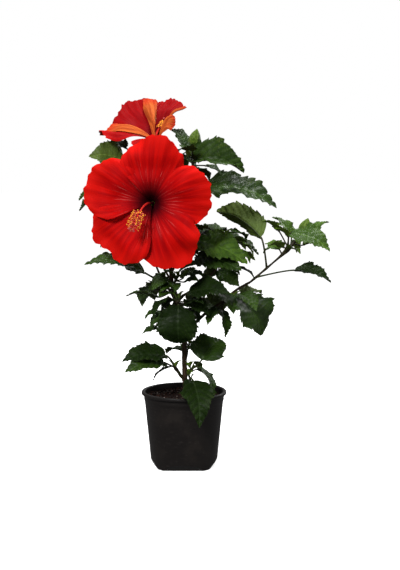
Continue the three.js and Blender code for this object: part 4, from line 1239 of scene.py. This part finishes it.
def build_column(name, bloom, spot):
    """The long column: red tube, filaments with anthers round its outer half, five stigmas."""
    seat, out, _, _ = spot
    path = [seat + out * GAP]
    for compass, rise, length in bloom.column:
        path.append(path[-1] + heading(compass, rise) * length)
    tubes, anthers = Batch(), Batch()
    t = ramp(COLUMN_ROWS + 1)
    line = curve(path, t)
    radii = np.interp(t, [0, 0.1, 0.55, 0.9, 1], [2.4, 1.7, 1.35, 1.0, 0.6])
    deep = np.repeat(1 - smooth(0.1, 0.42, t), COLUMN_SIDES)
    tube(tubes, line, radii, COLUMN_SIDES, 0, np.append(deep, (deep[0], deep[-1])))
    ways, side, front = frames(line)
    roll = dice(77)
    for k in range(ANTHERS):
        place = 0.70 + 0.29 * k / ANTHERS
        i = int(place * COLUMN_ROWS)
        away = spoke(side[i], front[i], GOLDEN * k + 20 * roll())
        away = unit(away + ways[i] * (0.25 + 0.25 * roll()))
        length = (9.3 + 1.8 * roll()) * bloom.head
        foot = line[i] + away * 0.6
        knee = foot + away * length * 0.5 + UP * 0.4
        tip = foot + away * length - UP * 0.3
        tube(tubes, curve([foot, knee, tip], ramp(5)), [0.28, 0.24, 0.2, 0.18, 0.17], 5, 1)
        x = unit(np.cross(away, ways[i]))
        axes = [x * 0.95, away * 0.7, np.cross(x, away) * 0.75]
        ball(anthers, tip, axes, rough=0.12, seed=k)
    for k in range(STIGMAS):
        away = spoke(side[-1], front[-1], 72 * k + 15)
        foot = line[-1]
        tip = foot + ways[-1] * 3.6 + away * 3.6
        tube(tubes, curve([foot, foot + ways[-1] * 1.8 + away, tip], ramp(7)), 0.4, 6, 0)
        ball(tubes, tip, [side[-1] * 1.35, front[-1] * 1.35, ways[-1]], 2, 7, 12, 0.1, k)
    tubes.make(name + "_column_tube", [COLUMN_RED, FILAMENT, STIGMA], "stamens", [name + "_column"])
    anthers.make(name + "_anthers", [ANTHER], "stamens", [name + "_column"])


def build_calyx(name, bloom, spot):
    """The flower's stalk, a cup of five pointed sepals round the petals' foot, slim bracts below."""
    seat, out, u, v = spot
    batch = Batch()
    path = [*bloom.stalk, bloom.foot]
    t = ramp(15)
    tube(batch, curve(path, t), 1.5 + 0.4 * t, 10, 1, 0.15)
    foot = np.array(bloom.foot, float)
    axis = seat - foot
    s = ramp(13)
    cup = np.interp(s, [0, 0.12, 0.35, 0.7, 1], [1.4, 4.6, 6.2, 6.7, 6.3])

    def ribs(turn, i):
        return 1 + 0.07 * np.cos(5 * turn) + 0.02 * np.cos(15 * turn)

    tube(batch, foot + axis * s[:, None] * 0.93, cup, 40, 2, 0, ribs)
    r = ramp(SEPAL_ROWS)[:, None]
    w = np.linspace(-1, 1, SEPAL_COLUMNS)[None]
    for k in range(SEPALS):
        way = spoke(u, v, 72 * k)
        over = np.cross(out, way)
        wide = 4.0 * (1 - r**1.6) + 0.1
        spine = seat - out * 2.6 + way * (6.0 + 2.4 * r**1.5) + out * 1.35 * r
        leafy = spine[:, None] + over * (w * wide)[..., None] - way * (0.10 * (w * wide) ** 2)[..., None]
        for sign in (1, -1):
            batch.add(leafy + way * 0.3 * sign, [grid(SEPAL_ROWS, SEPAL_COLUMNS, flip=sign < 0)], 2)
    r = ramp(8)[:, None]
    for k in range(BRACTS):
        way = spoke(u, v, 360 / BRACTS * k + 11)
        bract = foot + way * (2.5 + 6.2 * r) + unit(axis) * (1.0 + 8.5 * r**1.4)
        tube(batch, bract, 0.75 * (1.03 - r[:, 0] ** 2), 6, 2)
    batch.make(name + "_sepals", [BARK, SHOOT, SEPAL], "calyx", [name + "_calyx"])


def build_bloom(name, bloom):
    spot = bloom_frame(bloom)
    batch = Batch()
    for index, given in enumerate(bloom.petals):
        add_petal(batch, spot, PETAL | given, index, len(bloom.petals))
    batch.make(name + "_corolla", PETAL_MATERIALS, "petals", [name + "_petals"])
    build_column(name, bloom, spot)
    build_calyx(name, bloom, spot)


# ---- pot and soil

POT = Sizes(
    rim=57.5, height=102.4, base=44.5, shoulder=53.4, shoulder_at=90, wall=1.2, floor=12, lip=3.4,
    lip_height=4.2)
CHAMFER = Sizes(size=30, length=100, tilt=48, out=9.4, sunk=2.2)  # a bar that cuts the foot
POT_SIDES = 192
SOIL_TOP = 96.5
SOIL_RADIUS = 51.7
SOIL_RINGS = 46
SOIL_SIDES = 150
SOIL_LUMPS = 620
WHITE_EVERY = 54  # lumps for each grain of perlite
FIBRES = 46


def arc(centre, radius, start, end, steps):
    """Points (radius, height) round a corner, from one angle to another in degrees."""
    turns = np.radians(np.linspace(start, end, steps))
    return [(centre[0] + radius * cos(a), centre[1] + radius * sin(a)) for a in turns]


def lathe(batch, profile, sides):
    """A turned shape, whose profile of (radius, height) starts and ends on the axis."""
    radius, height = np.array(profile[1:-1], float).T[..., None]
    turn = around(sides)[None]
    rings = gather(radius * np.cos(turn), radius * np.sin(turn), height)
    add_rings(batch, rings, [0, 0, profile[0][1]], [0, 0, profile[-1][1]])


def pot_profile():
    """Round the outside from the underside to the rolled rim, and down the inside to the floor."""
    collar = POT.rim - POT.lip
    lip_foot = POT.height - POT.lip_height
    wall = POT.wall

    def side(z):
        return POT.base + (POT.shoulder - POT.base) * z / POT.shoulder_at

    outer = [(0, 0), (20, 0), (POT.base - 1.2, 0)]
    outer += arc((POT.base - 1.1, 1.2), 1.2, -80, 0, 5)
    outer += [(side(z), z) for z in np.linspace(2.5, POT.shoulder_at - 1.4, 30)]
    outer += [(POT.shoulder + 0.1, POT.shoulder_at - 0.7), (collar - 0.1, POT.shoulder_at + 0.9)]
    outer += [(collar + 0.1, z) for z in np.linspace(POT.shoulder_at + 1.6, lip_foot - 0.8, 5)]
    outer += [(collar + 0.5, lip_foot - 0.25), (POT.rim - 1.4, lip_foot)]
    outer += arc((POT.rim - 1.1, lip_foot + 1.1), 1.1, -75, 0, 6)
    outer += arc((POT.rim - 1.5, POT.height - 1.5), 1.5, 0, 90, 8)
    inside = collar - wall
    outer += arc((inside + 1.4, POT.height - 1.4), 1.4, 100, 180, 7)
    outer += [(inside, z) for z in np.linspace(POT.height - 3, POT.shoulder_at + 2, 6)]
    outer += [(POT.shoulder - wall, POT.shoulder_at)]
    outer += [(side(z) - wall, z) for z in np.linspace(POT.shoulder_at - 3, POT.floor + 1, 12)]
    return outer + [(side(0) - wall - 1, POT.floor), (0, POT.floor)]


def build_pot():
    """The pot, whose foot is chamfered to a square with round corners."""
    batch = Batch()
    lathe(batch, pot_profile(), POT_SIDES)
    pot = batch.make("pot_shell", [POT_PLASTIC], "pot", ["pot"])
    away = (POT.base + CHAMFER.out) * MM
    for k in range(4):
        angle = radians(90 * k)
        bpy.ops.mesh.primitive_cube_add(size=MM)
        bar = bpy.context.object
        bar.scale = (CHAMFER.size, CHAMFER.length, CHAMFER.size)
        bar.rotation_euler = (0, radians(CHAMFER.tilt), angle)
        bar.location = (away * cos(angle), away * sin(angle), -CHAMFER.sunk * MM)
        bpy.context.view_layer.update()
        cut = pot.modifiers.new(f"chamfer_{k}", "BOOLEAN")
        cut.operation = "DIFFERENCE"
        cut.solver = "EXACT"
        cut.object = bar
        bpy.context.view_layer.objects.active = pot
        bpy.ops.object.modifier_apply(modifier=cut.name)
        bpy.data.objects.remove(bar)
    pot.data.set_sharp_from_angle(angle=radians(40))


def soil_height(x, y):
    """Surface of the compost: sunk a little at the pot's wall, lumpy all over."""
    r = np.hypot(x, y)
    base = SOIL_TOP - 0.6 - 1.4 * smooth(36, 51, r)
    p = gather(x, y, 0)
    return base + 0.9 * noise(p, 9, 1) + 0.8 * noise(p, 4, 2) + 0.55 * noise(p, 1.9, 3)


def build_soil():
    """The compost's surface, with lumps, bark chips, grains of perlite and rootlets on it."""
    surface, lumps, white, roots = Batch(), Batch(), Batch(), Batch()
    radius = np.linspace(0.5, SOIL_RADIUS, SOIL_RINGS)[:, None]
    turn = around(SOIL_SIDES)[None]
    x, y = radius * np.cos(turn), radius * np.sin(turn)
    top = gather(x, y, np.minimum(soil_height(x, y), SOIL_TOP + 0.9))
    depth = POT.shoulder_at - 12
    wall = gather(x[-1:], y[-1:], depth)
    add_rings(surface, np.vstack([top, wall]), [0, 0, SOIL_TOP - 0.5], [0, 0, depth], flip=True)
    surface.make("soil_surface", [COMPOST], "soil", ["soil"])
    roll = dice(404)
    for i in range(SOIL_LUMPS):
        far = 50.0 * sqrt(abs(roll()))
        turned = pi * roll()
        x, y = far * cos(turned), far * sin(turned)
        size = 0.7 + 1.5 * abs(roll()) ** 2
        z = float(soil_height(np.array(x), np.array(y))) + 0.2 * size
        if hypot(x - 2, y - 3) < 6 + size:
            continue
        chip = i % 9 in (1, 2)
        a, b = heading(180 * roll(), 40 * roll()), heading(180 * roll(), 20 * roll())
        c = unit(np.cross(a, b))
        b = np.cross(c, a)
        long = size * (1.7 if chip else 1.0)
        axes = [a * long, b * size * 0.75, c * size * (0.45 if chip else 0.7)]
        where = np.array([x, y, z])
        if i % WHITE_EVERY == 0:
            ball(white, where, axes, rough=0.35, seed=i)
        else:
            ball(lumps, where, axes, int(chip), 5, 7, 0.4, i)
    lumps.make("soil_lumps", [COMPOST, CHIP], "soil", ["soil"])
    white.make("soil_perlite", [PERLITE], "soil", ["soil"])
    for i in range(FIBRES):
        far, turned = 46 * sqrt(abs(roll())), pi * roll()
        x, y = far * cos(turned), far * sin(turned)
        way = heading(180 * roll(), 6 * roll()) * (4 + 3 * roll())
        bend = heading(180 * roll(), 30) * 1.4
        start = np.array([x, y, 0.0])
        points = [start, start + way / 2 + bend * 0.6, start + way]
        line = curve(points, ramp(8))
        line = line[np.hypot(line[:, 0], line[:, 1]) < 51]
        if len(line) < 3:
            continue
        line[:, 2] += soil_height(line[:, 0], line[:, 1]) + 0.35
        tube(roots, line, 0.26, 5)
    roots.make("soil_fibres", [ROOTLET], "soil", ["soil"])


# ---- build the shrub

build_pot()
build_soil()
for name, (path, r0, r1) in LIMBS.items():
    build_limb(name, path, r0, r1)
for name, shoots in grow_all().items():
    build_mass(name, shoots)
for name, bloom in BLOOMS.items():
    build_bloom(name, bloom)

# ---- studio

CAMERA_AT = (0.0217, -1.4, 0.3945)
CAMERA_DOWN = 6.05  # degrees below level
CAMERA_LENS = 66.2
WHITE = (1, 1, 1)
FLOOR_GLOW = 0.72
SKY_BELOW = 0.2  # strength of the light from below and above
SKY_ABOVE = 0.4
LAMPS_AIM = (0, 0, 0.27)
LAMPS = (
    # name, place, size, watts
    ("key", (-0.75, -1.6, 1.5), 0.5, 42),
    ("fill", (1.5, -1.1, 0.7), 1.0, 6),
    ("top", (0.25, 0.2, 1.9), 0.5, 26),
    ("rim", (0.9, 1.5, 1.0), 0.9, 8),
)


def build_studio():
    """The camera, a bright floor, lamps, and a white backdrop that only the camera sees."""
    scene = bpy.context.scene
    camera = bpy.data.objects.new("camera", bpy.data.cameras.new("camera"))
    camera.data.lens = CAMERA_LENS
    camera.data.sensor_width = 36
    camera.location = CAMERA_AT
    camera.rotation_euler = (radians(90 - CAMERA_DOWN), 0, 0)
    scene.collection.objects.link(camera)
    scene.camera = camera

    bpy.ops.mesh.primitive_plane_add(size=40, location=(0, 0, 0))
    floor = bpy.context.object
    floor.name = "floor"
    floor.visible_diffuse = False
    floor.visible_glossy = False
    s = Shader("floor_paper", Roughness=0.9, Specular_IOR_Level=0.0)
    s.colour(s.blend(s.noise(3.0), (0.86, 0.86, 0.86), (0.88, 0.88, 0.88)))
    s.put("Emission Color", WHITE)
    s.put("Emission Strength", FLOOR_GLOW)
    floor.data.materials.append(s.material)

    world = bpy.data.worlds.new("studio")
    scene.world = world
    world.use_nodes = True
    w = Nodes(world.node_tree)
    height = w.split(w.node("TexCoord", out="Generated"))[2]
    sky = w.tree.nodes["Background"]
    w.feed(sky.inputs[0], WHITE)
    w.feed(sky.inputs[1], w.node("MapRange", {0: height, 1: -0.35, 2: 0.9, 3: SKY_BELOW, 4: SKY_ABOVE}))
    backdrop = w.node("Background", {0: WHITE, 1: 1.0})
    seen = w.node("LightPath", out="Is Camera Ray")
    mixed = w.node("MixShader", {0: seen, 1: Wire(w, sky.outputs[0]), 2: backdrop})
    w.feed(w.tree.nodes["World Output"].inputs[0], mixed)

    for name, place, size, watts in LAMPS:
        light = bpy.data.lights.new(name, "AREA")
        light.shape = "DISK"
        light.size = size
        light.energy = watts
        lamp = bpy.data.objects.new(name, light)
        lamp.location = place
        x, y, z = np.subtract(LAMPS_AIM, place)
        lamp.rotation_euler = (atan2(hypot(x, y), -z), 0, atan2(-x, y))
        scene.collection.objects.link(lamp)
    scene.view_settings.view_transform = "Standard"
    scene.view_settings.look = "None"


build_studio()
